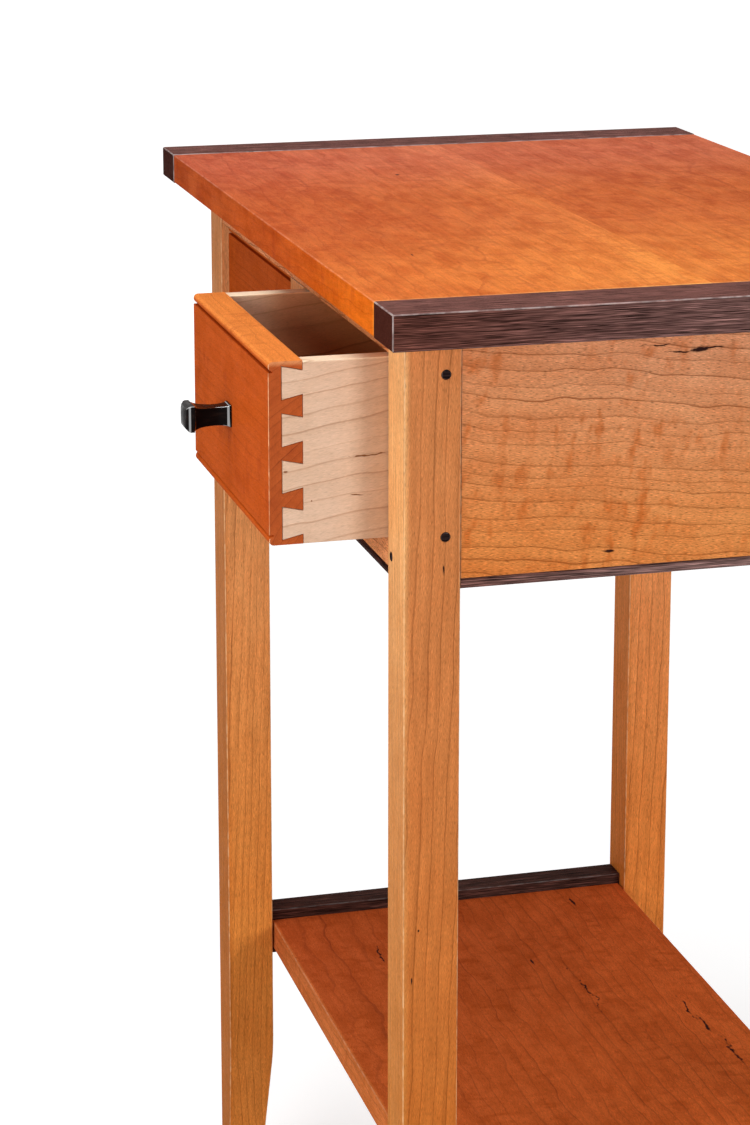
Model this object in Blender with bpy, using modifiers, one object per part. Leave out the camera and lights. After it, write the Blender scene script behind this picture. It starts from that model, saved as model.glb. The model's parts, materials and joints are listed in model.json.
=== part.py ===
"""Hall table: square tapered legs, two drawers side by side, a low shelf and dark breadboard ends.

Metres, +Z up. X runs along the front, the drawers open towards -Y and the feet stand on z = 0.
The right-hand drawer stands partly open and the left-hand one is shut.
"""
import math

import bmesh
import bpy
from mathutils import Matrix, Vector

# Fits
FIT_GAP = 0.0003
EASED_EDGE = 0.0008
FINE_EDGE = 0.0004
MERGE_DISTANCE = 0.00001
SMOOTH_ANGLE = math.radians(40)

# Legs
TABLE_HEIGHT = 0.914
LEG_SPREAD_X = 0.581
LEG_SPREAD_Y = 0.392
LEG_SIDE = 0.038
FOOT_SIDE = 0.0255
TAPER_HEIGHT = 0.160
TAPER_BLEND = 0.030
TAPER_STEPS = 5

# Top
TOP_THICKNESS = 0.0236
END_OVERHANG = 0.066
FRONT_OVERHANG = 0.026
REAR_OVERHANG = 0.035
BREADBOARD_WIDTH = 0.044
BREADBOARD_PROUD = 0.0004
TOP_TONGUE_LENGTH = 0.016
TOP_TONGUE_THICKNESS = 0.008

# Aprons, front rails and the bead strips under them
APRON_HEIGHT = 0.1665
APRON_THICKNESS = 0.020
APRON_SETBACK = 0.001
UPPER_RAIL_HEIGHT = 0.0242
LOWER_RAIL_HEIGHT = 0.019
BEAD_HEIGHT = 0.0072
BEAD_DEPTH = 0.020
BEAD_ARC_STEPS = 8
DIVIDER_WIDTH = 0.037

# Tenons
TENON_LENGTH = 0.020
APRON_TENON_THICKNESS = 0.008
APRON_TENON_SHOULDER = 0.015
RAIL_TENON_HEIGHT = 0.009
RAIL_TENON_WIDTH = 0.020
RAIL_TENON_SETBACK = 0.008
STUB_TENON_LENGTH = 0.006
STUB_TENON_WIDTH = 0.016
STUB_TENON_HEIGHT = 0.009
TENON_ROOT = 0.004

# Pegs through the tenons
PEG_RADIUS = 0.0031
PEG_LENGTH = 0.022
PEG_PROUD = 0.0003
PEG_SIDES = 16
PEG_FROM_LEG_EDGE = 0.0103
RAIL_PEG_FROM_LEG_EDGE = 0.0077
PEG_FROM_APRON_TOP = 0.0310
PEG_FROM_APRON_BOTTOM = 0.0288

# Shelf and its end stretchers
SHELF_TOP_HEIGHT = 0.2603
SHELF_THICKNESS = 0.0232
SHELF_LEG_GAP = 0.0017
SHELF_TONGUE_LENGTH = 0.006
SHELF_TONGUE_THICKNESS = 0.008
STRETCHER_THICKNESS = 0.023
STRETCHER_HEIGHT = 0.039
STRETCHER_SETBACK = 0.004
STRETCHER_LIP = 0.0087
STRETCHER_TENON_LENGTH = 0.012
STRETCHER_TENON_THICKNESS = 0.011
STRETCHER_TENON_HEIGHT = 0.025

# Drawers
DRAWER_OPEN = 0.085
DRAWER_RECESS = 0.006
DRAWER_GAP = 0.001
DRAWER_SIDE_GAP = 0.0012
DRAWER_REAR_ROOM = 0.010
FRONT_THICKNESS = 0.0225
FRONT_LAP = 0.0089
FRONT_BEAD_RADIUS = 0.0031
FRONT_QUIRK_WIDTH = 0.0009
FRONT_BEAD_STEPS = 8
SIDE_THICKNESS = 0.0127
SIDE_DROP = 0.0005
TAIL_COUNT = 4
PIN_WIDTH = 0.0091
HALF_PIN_WIDTH = 0.0034
TAIL_SLOPE = 0.23
BACK_THICKNESS = 0.0115
BACK_SETBACK = 0.006
BACK_DROP = 0.006
BACK_DADO = 0.005
BOTTOM_THICKNESS = 0.0062
BOTTOM_GROOVE_HEIGHT = 0.008
BOTTOM_GROOVE_DEPTH = 0.0045
STOP_WIDTH = 0.036
STOP_HEIGHT = 0.030

# Pulls
PULL_LENGTH = 0.033
PULL_BASE_HALF = 0.0076
PULL_BASE_THICKNESS = 0.0013
PULL_NECK_HALF_X = 0.0054
PULL_NECK_HALF_Z = 0.0063
PULL_NECK_POSITION = 0.0110
PULL_HEAD_HALF_X = 0.0106
PULL_HEAD_HALF_Z = 0.0090
PULL_HEAD_EDGE = 0.0026
PULL_DOME = 0.0042
PULL_COVE_STEPS = 8
PULL_DOME_STEPS = 4
PULL_DOWEL_RADIUS = 0.004
PULL_DOWEL_LENGTH = 0.014

# Runners below the drawers, kickers above them, and the screws that hold the top
RUNNER_BEARING = 0.0185
GUIDE_HEIGHT = 0.020
SCREW_SHANK_RADIUS = 0.0021
SCREW_HEAD_RADIUS = 0.0042
SCREW_HEAD_HEIGHT = 0.0026
SCREW_SINK = 0.003
SCREW_BITE = 0.014
SCREW_INSET = 0.075
SCREW_STEPS = 16

# Heights
TOP_FACE = TABLE_HEIGHT - BREADBOARD_PROUD
TOP_UNDERSIDE = TABLE_HEIGHT - TOP_THICKNESS
APRON_TOP = TOP_UNDERSIDE - FIT_GAP
APRON_BOTTOM = TOP_UNDERSIDE - APRON_HEIGHT
OPENING_TOP = TOP_UNDERSIDE - UPPER_RAIL_HEIGHT
OPENING_BOTTOM = APRON_BOTTOM + LOWER_RAIL_HEIGHT
DRAWER_BOTTOM = OPENING_BOTTOM + DRAWER_GAP
DRAWER_HEIGHT = OPENING_TOP - DRAWER_GAP - DRAWER_BOTTOM
RUNNER_TOP = DRAWER_BOTTOM - FIT_GAP
SCREW_TO_TOP = TOP_UNDERSIDE - OPENING_TOP - SCREW_SINK
STRETCHER_TOP = SHELF_TOP_HEIGHT + STRETCHER_LIP
PEG_HEIGHTS = (TOP_UNDERSIDE - PEG_FROM_APRON_TOP, APRON_BOTTOM + PEG_FROM_APRON_BOTTOM)

# Places along X and Y, from the middle of the leg frame
LEG_OUT_X = LEG_SPREAD_X / 2
LEG_OUT_Y = LEG_SPREAD_Y / 2
LEG_IN_X = LEG_OUT_X - LEG_SIDE
LEG_IN_Y = LEG_OUT_Y - LEG_SIDE
APRON_OUT_X = LEG_OUT_X - APRON_SETBACK
APRON_OUT_Y = LEG_OUT_Y - APRON_SETBACK
APRON_IN_X = APRON_OUT_X - APRON_THICKNESS
APRON_IN_Y = APRON_OUT_Y - APRON_THICKNESS
STRETCHER_OUT_X = LEG_OUT_X - STRETCHER_SETBACK
STRETCHER_IN_X = STRETCHER_OUT_X - STRETCHER_THICKNESS
OPENING_WIDTH = LEG_IN_X - DIVIDER_WIDTH / 2
FRONT_WIDTH = OPENING_WIDTH - 2 * DRAWER_SIDE_GAP
DRAWER_MIDDLE_X = (LEG_IN_X + DIVIDER_WIDTH / 2) / 2
DRAWER_SHUT_Y = -LEG_OUT_Y + DRAWER_RECESS
DRAWER_LENGTH = APRON_IN_Y - DRAWER_REAR_ROOM - DRAWER_SHUT_Y
RUNNER_IN_X = LEG_IN_X - RUNNER_BEARING
CENTRE_RUNNER_HALF = DIVIDER_WIDTH / 2 + RUNNER_BEARING

# The origin lies on the floor under the middle of the whole table, pulled-out drawer included
FRONT_REACH = DRAWER_SHUT_Y - DRAWER_OPEN - PULL_LENGTH
REAR_REACH = LEG_OUT_Y + REAR_OVERHANG
FRAME_SHIFT_Y = -(FRONT_REACH + REAR_REACH) / 2

ENDS = (("left", -1), ("right", 1))
SIDES = (("front", -1), ("back", 1))
QUARTER_TURN = math.pi / 2
ALONG_X = (QUARTER_TURN, 0.0, QUARTER_TURN)
ALONG_Y = (QUARTER_TURN, 0.0, 0.0)


def clear_scene():
    """Remove every object of the open scene."""
    for old in list(bpy.data.objects):
        bpy.data.objects.remove(old, do_unlink=True)


def add_collection(name):
    """A new collection under the scene's own one."""
    collection = bpy.data.collections.new(name)
    bpy.context.scene.collection.children.link(collection)
    return collection


def add_material(name, colour, roughness, metallic=0.0):
    """A plain finish."""
    material = bpy.data.materials.new(name)
    material.use_nodes = True
    shader = material.node_tree.nodes["Principled BSDF"]
    shader.inputs["Base Color"].default_value = (*colour, 1.0)
    shader.inputs["Roughness"].default_value = roughness
    shader.inputs["Metallic"].default_value = metallic
    return material


def add_empty(name, location, parent=None):
    """A carrier that places what is parented to it."""
    empty = bpy.data.objects.new(name, None)
    empty.location = location
    empty.parent = parent
    TABLE.objects.link(empty)
    return empty


def add_part(name, bm, location, material, parent, smooth_angle=None):
    """Make a named piece of the table from a bmesh."""
    mesh = bpy.data.meshes.new(name)
    bm.to_mesh(mesh)
    bm.free()
    mesh.materials.append(material)
    if smooth_angle is not None:
        mesh.shade_smooth()
        mesh.set_sharp_from_angle(angle=smooth_angle)
    part = bpy.data.objects.new(name, mesh)
    part.location = location
    part.parent = parent
    TABLE.objects.link(part)
    return part


def add_tool(name, bm, location, parent):
    """Make a hidden body that only cuts or extends a piece."""
    mesh = bpy.data.meshes.new(name)
    bm.to_mesh(mesh)
    bm.free()
    tool = bpy.data.objects.new(name, mesh)
    tool.location = location
    tool.parent = parent
    tool.hide_render = True
    tool.display_type = "WIRE"
    TOOLS.objects.link(tool)
    return tool


def combine(part, tool, operation):
    """Cut a tool out of a piece, or join the tool to it."""
    modifier = part.modifiers.new(tool.name, "BOOLEAN")
    modifier.operation = operation
    modifier.solver = "EXACT"
    modifier.object = tool


def corners(low, high):
    """Centre and size of the box between two opposite corners."""
    low = Vector(low)
    high = Vector(high)
    size = Vector([abs(b - a) for a, b in zip(low, high)])
    return (low + high) / 2, size


def box_mesh(size, edge=0.0):
    """A box about the origin, its edges eased where asked."""
    bm = bmesh.new()
    bmesh.ops.create_cube(bm, size=1.0)
    bmesh.ops.scale(bm, vec=size, verts=bm.verts)
    if edge > 0.0:
        bmesh.ops.bevel(bm, geom=bm.edges[:], offset=edge, segments=1, profile=0.5, affect="EDGES")
    return bm


def box_part(name, low, high, material, parent, edge=EASED_EDGE):
    """A board between two opposite corners."""
    centre, size = corners(low, high)
    return add_part(name, box_mesh(size, edge), centre, material, parent)


def box_tool(name, low, high, parent, grow=0.0):
    """A hidden box between two opposite corners, grown on every side."""
    centre, size = corners(low, high)
    size += Vector((grow, grow, grow)) * 2
    return add_tool(name, box_mesh(size), centre, parent)


def tenon(board, receiver, name, low, high):
    """Extend a board by a tenon and cut its mortise in the piece that receives it."""
    combine(board, box_tool(name + "_tenon", low, high, board.parent), "UNION")
    combine(receiver, box_tool(name + "_mortise", low, high, board.parent, FIT_GAP), "DIFFERENCE")


def prism(name, outline, length, location, rotation, material, parent, smooth_angle=None):
    """A flat outline extruded evenly both ways, then placed."""
    curve = bpy.data.curves.new(name + "_outline", "CURVE")
    curve.dimensions = "2D"
    curve.fill_mode = "BOTH"
    curve.extrude = length / 2
    spline = curve.splines.new("POLY")
    spline.points.add(len(outline) - 1)
    for point, (u, v) in zip(spline.points, outline):
        point.co = (u, v, 0.0, 1.0)
    spline.use_cyclic_u = True
    drawn = bpy.data.objects.new(name + "_outline", curve)
    TABLE.objects.link(drawn)
    bpy.context.view_layer.update()
    evaluated = drawn.evaluated_get(bpy.context.evaluated_depsgraph_get())
    mesh = bpy.data.meshes.new_from_object(evaluated)
    bm = bmesh.new()
    bm.from_mesh(mesh)
    bmesh.ops.remove_doubles(bm, verts=bm.verts, dist=MERGE_DISTANCE)
    bmesh.ops.recalc_face_normals(bm, faces=bm.faces)
    bpy.data.objects.remove(drawn, do_unlink=True)
    bpy.data.meshes.remove(mesh)
    part = add_part(name, bm, location, material, parent, smooth_angle)
    part.rotation_euler = rotation
    return part


def arc(centre_u, centre_v, radius, start, end, steps):
    """Points along a circular arc, both ends included."""
    angles = [start + (end - start) * i / steps for i in range(steps + 1)]
    return [(centre_u + radius * math.cos(a), centre_v + radius * math.sin(a)) for a in angles]


def taper_inset(height):
    """How far the inner faces of a leg stand in from the full square at a height."""
    depth = TAPER_HEIGHT - height
    slope = (LEG_SIDE - FOOT_SIDE) / (TAPER_HEIGHT - TAPER_BLEND / 2)
    if depth <= 0.0:
        return 0.0
    if depth < TAPER_BLEND:
        return slope * depth * depth / (2 * TAPER_BLEND)
    return slope * (depth - TAPER_BLEND / 2)


def add_leg(name, toward_x, toward_y):
    """A square leg whose two inner faces taper below the shelf, with a softly curved start."""
    bm = box_mesh(Vector((LEG_SIDE, LEG_SIDE, APRON_TOP)))
    bmesh.ops.translate(bm, vec=(0.0, 0.0, APRON_TOP / 2), verts=bm.verts)
    for step in range(TAPER_STEPS + 1):
        level = TAPER_HEIGHT - TAPER_BLEND * step / TAPER_STEPS
        everything = bm.verts[:] + bm.edges[:] + bm.faces[:]
        bmesh.ops.bisect_plane(bm, geom=everything, plane_co=(0.0, 0.0, level), plane_no=(0.0, 0.0, 1.0))
    for vert in bm.verts:
        inset = taper_inset(vert.co.z)
        if vert.co.x * toward_x < 0.0:
            vert.co.x += inset * toward_x
        if vert.co.y * toward_y < 0.0:
            vert.co.y += inset * toward_y
    upright = [e for e in bm.edges if abs(e.verts[0].co.z - e.verts[1].co.z) > EASED_EDGE
               and not e.is_boundary and e.calc_face_angle(0.0) > math.pi / 4]
    bmesh.ops.bevel(bm, geom=upright, offset=EASED_EDGE, segments=1, profile=0.5, affect="EDGES")
    place = (toward_x * (LEG_OUT_X - LEG_SIDE / 2), toward_y * (LEG_OUT_Y - LEG_SIDE / 2), 0.0)
    return add_part(name, bm, place, CHERRY_LEG, FRAME)


def add_legs():
    """The four legs, by end and side."""
    legs = {}
    for side, toward_y in SIDES:
        for end, toward_x in ENDS:
            legs[side, end] = add_leg(f"leg_{side}_{end}", toward_x, toward_y)
    return legs


def add_peg(name, mouth, axis, pieces):
    """A round peg driven into a leg face, flats up and down, with its hole cut through what it pins."""
    axis = Vector(axis)
    half_step = Matrix.Rotation(math.pi / PEG_SIDES, 3, "Z")
    turn = Vector((0.0, 0.0, 1.0)).rotation_difference(axis).to_matrix() @ half_step
    bm = bmesh.new()
    bmesh.ops.create_cone(bm, cap_ends=True, segments=PEG_SIDES, radius1=PEG_RADIUS, radius2=PEG_RADIUS,
                          depth=PEG_LENGTH)
    rims = [e for e in bm.edges if abs(e.verts[0].co.z - e.verts[1].co.z) < FINE_EDGE]
    bmesh.ops.bevel(bm, geom=rims, offset=FINE_EDGE, segments=1, profile=0.5, affect="EDGES")
    bmesh.ops.rotate(bm, matrix=turn, verts=bm.verts)
    middle = Vector(mouth) + axis * (PEG_PROUD - PEG_LENGTH / 2)
    add_part(name, bm, middle, WENGE, FRAME, SMOOTH_ANGLE)
    hole = bmesh.new()
    bmesh.ops.create_cone(hole, cap_ends=True, segments=PEG_SIDES, radius1=PEG_RADIUS + FIT_GAP,
                          radius2=PEG_RADIUS + FIT_GAP, depth=PEG_LENGTH + 2 * FIT_GAP)
    bmesh.ops.rotate(hole, matrix=turn, verts=hole.verts)
    tool = add_tool(name + "_hole", hole, middle, FRAME)
    for piece in pieces:
        combine(piece, tool, "DIFFERENCE")


def add_end_aprons(legs):
    """The two end aprons, tenoned and pegged into the legs."""
    aprons = {}
    tenon_x = APRON_OUT_X - (APRON_THICKNESS - APRON_TENON_THICKNESS) / 2
    for end, sign in ENDS:
        apron = box_part(f"apron_{end}", (sign * APRON_IN_X, -LEG_IN_Y + FIT_GAP, APRON_BOTTOM),
                         (sign * APRON_OUT_X, LEG_IN_Y - FIT_GAP, APRON_TOP), CHERRY_PANEL, FRAME, FINE_EDGE)
        aprons[end] = apron
        for side, toward in SIDES:
            leg = legs[side, end]
            low = (sign * (tenon_x - APRON_TENON_THICKNESS), toward * (LEG_IN_Y - TENON_ROOT),
                   APRON_BOTTOM + APRON_TENON_SHOULDER)
            high = (sign * tenon_x, toward * (LEG_IN_Y + TENON_LENGTH), APRON_TOP - APRON_TENON_SHOULDER)
            tenon(apron, leg, f"apron_{end}_{side}", low, high)
            for row, height in enumerate(PEG_HEIGHTS, 1):
                mouth = (sign * LEG_OUT_X, toward * (LEG_IN_Y + PEG_FROM_LEG_EDGE), height)
                add_peg(f"peg_end_{end}_{side}_{row}", mouth, (sign, 0.0, 0.0), (leg, apron))
    return aprons


def add_back_apron(legs):
    """The back apron, tenoned and pegged into the back legs."""
    apron = box_part("apron_back", (-LEG_IN_X + FIT_GAP, APRON_IN_Y, APRON_BOTTOM),
                     (LEG_IN_X - FIT_GAP, APRON_OUT_Y, APRON_TOP), CHERRY_PANEL, FRAME, FINE_EDGE)
    tenon_y = APRON_OUT_Y - (APRON_THICKNESS - APRON_TENON_THICKNESS) / 2
    for end, sign in ENDS:
        leg = legs["back", end]
        low = (sign * (LEG_IN_X - TENON_ROOT), tenon_y - APRON_TENON_THICKNESS,
               APRON_BOTTOM + APRON_TENON_SHOULDER)
        high = (sign * (LEG_IN_X + TENON_LENGTH), tenon_y, APRON_TOP - APRON_TENON_SHOULDER)
        tenon(apron, leg, f"apron_back_{end}", low, high)
        for row, height in enumerate(PEG_HEIGHTS, 1):
            mouth = (sign * (LEG_IN_X + PEG_FROM_LEG_EDGE), LEG_OUT_Y, height)
            add_peg(f"peg_back_{end}_{row}", mouth, (0.0, 1.0, 0.0), (leg, apron))
    return apron


def add_front_rails(legs):
    """The flat rails above and below the drawers, with the lower one pegged."""
    rails = {}
    tenon_front = -APRON_OUT_Y + RAIL_TENON_SETBACK
    for name, bottom, top in (("upper", OPENING_TOP, APRON_TOP), ("lower", APRON_BOTTOM, OPENING_BOTTOM)):
        rail = box_part(f"rail_front_{name}", (-LEG_IN_X + FIT_GAP, -APRON_OUT_Y, bottom),
                        (LEG_IN_X - FIT_GAP, -LEG_IN_Y, top), CHERRY_PANEL, FRAME, FINE_EDGE)
        rails[name] = rail
        middle = (bottom + top) / 2
        for end, sign in ENDS:
            leg = legs["front", end]
            low = (sign * (LEG_IN_X - TENON_ROOT), tenon_front, middle - RAIL_TENON_HEIGHT / 2)
            high = (sign * (LEG_IN_X + TENON_LENGTH), tenon_front + RAIL_TENON_WIDTH,
                    middle + RAIL_TENON_HEIGHT / 2)
            tenon(rail, leg, f"rail_{name}_{end}", low, high)
            if name == "lower":
                mouth = (sign * (LEG_IN_X + RAIL_PEG_FROM_LEG_EDGE), -LEG_OUT_Y, middle)
                add_peg(f"peg_front_{end}", mouth, (0.0, -1.0, 0.0), (leg, rail))
    return rails


def add_divider(rails):
    """The upright between the two drawers, stub-tenoned into both rails."""
    divider = box_part("drawer_divider", (-DIVIDER_WIDTH / 2, -APRON_OUT_Y, OPENING_BOTTOM + FIT_GAP),
                       (DIVIDER_WIDTH / 2, -LEG_IN_Y, OPENING_TOP - FIT_GAP), CHERRY_LEG, FRAME, FINE_EDGE)
    middle_y = -(APRON_OUT_Y + LEG_IN_Y) / 2
    for name, shoulder, sign in (("upper", OPENING_TOP, 1), ("lower", OPENING_BOTTOM, -1)):
        low = (-STUB_TENON_WIDTH / 2, middle_y - STUB_TENON_WIDTH / 2, shoulder - sign * TENON_ROOT)
        high = (STUB_TENON_WIDTH / 2, middle_y + STUB_TENON_WIDTH / 2, shoulder + sign * STUB_TENON_LENGTH)
        tenon(divider, rails[name], f"divider_{name}", low, high)


def bead_outline():
    """Section of a bead strip: a flat board with a half-round nose towards +u, top at v = 0."""
    radius = BEAD_HEIGHT / 2
    nose = arc(-radius, -radius, radius, -QUARTER_TURN, QUARTER_TURN, BEAD_ARC_STEPS)
    return nose + [(-BEAD_DEPTH, 0.0), (-BEAD_DEPTH, -BEAD_HEIGHT)]


def add_beads():
    """Dark half-round strips under the aprons and the lower front rail."""
    top = APRON_BOTTOM - FIT_GAP
    length_x = 2 * (LEG_IN_X - FIT_GAP)
    length_y = 2 * (LEG_IN_Y - FIT_GAP)
    section = bead_outline()
    flipped = [(-u, v) for u, v in reversed(section)]
    prism("bead_right", section, length_y, (APRON_OUT_X, 0.0, top), ALONG_Y, WENGE, FRAME, SMOOTH_ANGLE)
    prism("bead_left", flipped, length_y, (-APRON_OUT_X, 0.0, top), ALONG_Y, WENGE, FRAME, SMOOTH_ANGLE)
    prism("bead_back", section, length_x, (0.0, APRON_OUT_Y, top), ALONG_X, WENGE, FRAME, SMOOTH_ANGLE)
    prism("bead_front", flipped, length_x, (0.0, -APRON_OUT_Y, top), ALONG_X, WENGE, FRAME, SMOOTH_ANGLE)


def add_runners(rails, apron_back):
    """Runners with guides that carry the drawer sides, and kickers that keep the drawers level."""
    length = 2 * (LEG_IN_Y - FIT_GAP)
    fixed_x = APRON_IN_X - FIT_GAP
    guide_top = RUNNER_TOP + GUIDE_HEIGHT
    for end, sign in ENDS:
        outline = [(RUNNER_IN_X, APRON_BOTTOM), (fixed_x, APRON_BOTTOM), (fixed_x, guide_top),
                   (LEG_IN_X, guide_top), (LEG_IN_X, RUNNER_TOP), (RUNNER_IN_X, RUNNER_TOP)]
        if sign < 0:
            outline = [(-u, v) for u, v in reversed(outline)]
        prism(f"runner_{end}", outline, length, (0.0, 0.0, 0.0), ALONG_Y, POPLAR, FRAME)
    front = -LEG_IN_Y + FIT_GAP
    back = APRON_IN_Y - FIT_GAP
    half = CENTRE_RUNNER_HALF
    guide = DIVIDER_WIDTH / 2
    outline = [(-half, APRON_BOTTOM), (half, APRON_BOTTOM), (half, RUNNER_TOP), (guide, RUNNER_TOP),
               (guide, guide_top), (-guide, guide_top), (-guide, RUNNER_TOP), (-half, RUNNER_TOP)]
    runner = prism("runner_centre", outline, back - front, (0.0, (front + back) / 2, 0.0), ALONG_Y,
                   POPLAR, FRAME)
    kicker = box_part("kicker_centre", (-half, front, OPENING_TOP), (half, back, APRON_TOP), POPLAR, FRAME,
                      FINE_EDGE)
    for board, name, rail in ((runner, "runner", rails["lower"]), (kicker, "kicker", rails["upper"])):
        bottom, top = (APRON_BOTTOM, RUNNER_TOP) if board is runner else (OPENING_TOP, APRON_TOP)
        middle = (bottom + top) / 2
        for receiver, end_y, out in ((rail, front, -1), (apron_back, back, 1)):
            low = (-STUB_TENON_WIDTH / 2, end_y - out * TENON_ROOT, middle - STUB_TENON_HEIGHT / 2)
            high = (STUB_TENON_WIDTH / 2, end_y + out * STUB_TENON_LENGTH, middle + STUB_TENON_HEIGHT / 2)
            tenon(board, receiver, f"{name}_centre_{receiver.name}", low, high)
    kickers = {}
    for end, sign in ENDS:
        kickers[end] = box_part(f"kicker_{end}", (sign * RUNNER_IN_X, -LEG_IN_Y + FIT_GAP, OPENING_TOP),
                                (sign * fixed_x, LEG_IN_Y - FIT_GAP, APRON_TOP), POPLAR, FRAME, FINE_EDGE)
    return kickers


def add_stops():
    """Blocks on the back apron that the shut drawers come up against."""
    front = DRAWER_SHUT_Y + DRAWER_LENGTH - BACK_SETBACK + FIT_GAP
    bottom = RUNNER_TOP + GUIDE_HEIGHT
    for end, sign in ENDS:
        middle = sign * DRAWER_MIDDLE_X
        box_part(f"drawer_stop_{end}", (middle - STOP_WIDTH / 2, front, bottom),
                 (middle + STOP_WIDTH / 2, APRON_IN_Y - FIT_GAP, bottom + STOP_HEIGHT), POPLAR, FRAME,
                 FINE_EDGE)


def add_top(kickers):
    """The top panel between its breadboard ends, screwed down through the kickers."""
    front = -LEG_OUT_Y - FRONT_OVERHANG
    back = LEG_OUT_Y + REAR_OVERHANG
    end_x = LEG_OUT_X + END_OVERHANG
    joint_x = end_x - BREADBOARD_WIDTH
    bottom = TOP_UNDERSIDE + BREADBOARD_PROUD
    panel = box_part("top_panel", (-joint_x + FIT_GAP, front + BREADBOARD_PROUD, bottom),
                     (joint_x - FIT_GAP, back - BREADBOARD_PROUD, TOP_FACE), CHERRY_TOP, FRAME)
    middle = (TOP_FACE + bottom) / 2
    for end, sign in ENDS:
        board = box_part(f"breadboard_{end}", (sign * joint_x, front, TOP_UNDERSIDE),
                         (sign * end_x, back, TABLE_HEIGHT), WENGE, FRAME)
        reach = BREADBOARD_WIDTH / 2
        low = (sign * (joint_x - TENON_ROOT), front + reach, middle - TOP_TONGUE_THICKNESS / 2)
        high = (sign * (joint_x + TOP_TONGUE_LENGTH), back - reach, middle + TOP_TONGUE_THICKNESS / 2)
        tenon(panel, board, f"top_{end}", low, high)
        for side, toward in SIDES:
            place = (sign * (RUNNER_IN_X + APRON_IN_X) / 2, toward * (LEG_IN_Y - SCREW_INSET),
                     OPENING_TOP + SCREW_SINK)
            add_top_screw(f"top_screw_{end}_{side}", place, (kickers[end], panel))


def turned_mesh(name, profile):
    """An object turned about Z from a profile that runs from top to bottom."""
    mesh = bpy.data.meshes.new(name)
    edges = [(i, i + 1) for i in range(len(profile) - 1)]
    mesh.from_pydata([(radius, 0.0, height) for radius, height in profile], edges, [])
    mesh.shade_smooth()
    turned = bpy.data.objects.new(name, mesh)
    screw = turned.modifiers.new("turn", "SCREW")
    screw.steps = SCREW_STEPS
    screw.render_steps = SCREW_STEPS
    screw.use_merge_vertices = True
    screw.merge_threshold = MERGE_DISTANCE
    return turned


def screw_profile(grow):
    """Half section of a flat-headed screw standing point up, head face at the origin."""
    tip = SCREW_TO_TOP + SCREW_BITE + grow
    shank = SCREW_SHANK_RADIUS + grow
    head = SCREW_HEAD_RADIUS + grow
    neck = SCREW_HEAD_HEIGHT + grow
    return [(0.0, tip), (shank, tip - shank), (shank, neck), (head, neck), (head, -grow), (0.0, -grow)]


def add_top_screw(name, place, pieces):
    """A screw up through a kicker into the top, sunk in a counterbore."""
    screw = turned_mesh(name, screw_profile(0.0))
    screw.data.materials.append(STEEL)
    screw.location = place
    screw.parent = FRAME
    TABLE.objects.link(screw)
    counterbore = screw_profile(FIT_GAP)
    wide = SCREW_HEAD_RADIUS + FIT_GAP
    deep = -2 * SCREW_SINK
    hole = turned_mesh(name + "_hole", counterbore[:-2] + [(wide, deep), (0.0, deep)])
    hole.location = place
    hole.parent = FRAME
    hole.hide_render = True
    hole.display_type = "WIRE"
    TOOLS.objects.link(hole)
    for piece in pieces:
        combine(piece, hole, "DIFFERENCE")


def add_shelf(legs):
    """The low shelf, tongued into dark stretchers that join front and back legs."""
    shelf_end = STRETCHER_IN_X - FIT_GAP
    depth = LEG_IN_Y - SHELF_LEG_GAP
    bottom = SHELF_TOP_HEIGHT - SHELF_THICKNESS
    shelf = box_part("shelf", (-shelf_end, -depth, bottom), (shelf_end, depth, SHELF_TOP_HEIGHT),
                     CHERRY_SHELF, FRAME)
    middle = (SHELF_TOP_HEIGHT + bottom) / 2
    tenon_x = (STRETCHER_IN_X + STRETCHER_OUT_X) / 2
    tenon_z = STRETCHER_TOP - STRETCHER_HEIGHT / 2
    for end, sign in ENDS:
        stretcher = box_part(f"stretcher_{end}",
                             (sign * STRETCHER_IN_X, -LEG_IN_Y + FIT_GAP, STRETCHER_TOP - STRETCHER_HEIGHT),
                             (sign * STRETCHER_OUT_X, LEG_IN_Y - FIT_GAP, STRETCHER_TOP), WENGE, FRAME)
        low = (sign * (shelf_end - TENON_ROOT), -depth + SHELF_THICKNESS, middle - SHELF_TONGUE_THICKNESS / 2)
        high = (sign * (STRETCHER_IN_X + SHELF_TONGUE_LENGTH), depth - SHELF_THICKNESS,
                middle + SHELF_TONGUE_THICKNESS / 2)
        tenon(shelf, stretcher, f"shelf_{end}", low, high)
        for side, toward in SIDES:
            low = (sign * (tenon_x - STRETCHER_TENON_THICKNESS / 2), toward * (LEG_IN_Y - TENON_ROOT),
                   tenon_z - STRETCHER_TENON_HEIGHT / 2)
            high = (sign * (tenon_x + STRETCHER_TENON_THICKNESS / 2),
                    toward * (LEG_IN_Y + STRETCHER_TENON_LENGTH), tenon_z + STRETCHER_TENON_HEIGHT / 2)
            tenon(stretcher, legs[side, end], f"stretcher_{end}_{side}", low, high)


def front_outline():
    """Section of a drawer front: u runs in from the face, v up; a quirked bead on both long edges."""
    radius = FRONT_BEAD_RADIUS
    far_wall = 2 * radius + FRONT_QUIRK_WIDTH
    top = DRAWER_HEIGHT
    upper = arc(radius, top - radius, radius, QUARTER_TURN, 3 * QUARTER_TURN, FRONT_BEAD_STEPS)
    lower = arc(radius, radius, radius, QUARTER_TURN, 3 * QUARTER_TURN, FRONT_BEAD_STEPS)
    face = [(radius, top - far_wall), (0.0, top - far_wall), (0.0, far_wall), (radius, far_wall)]
    return [(FRONT_THICKNESS, 0.0), (FRONT_THICKNESS, top)] + upper + face + lower


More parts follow.
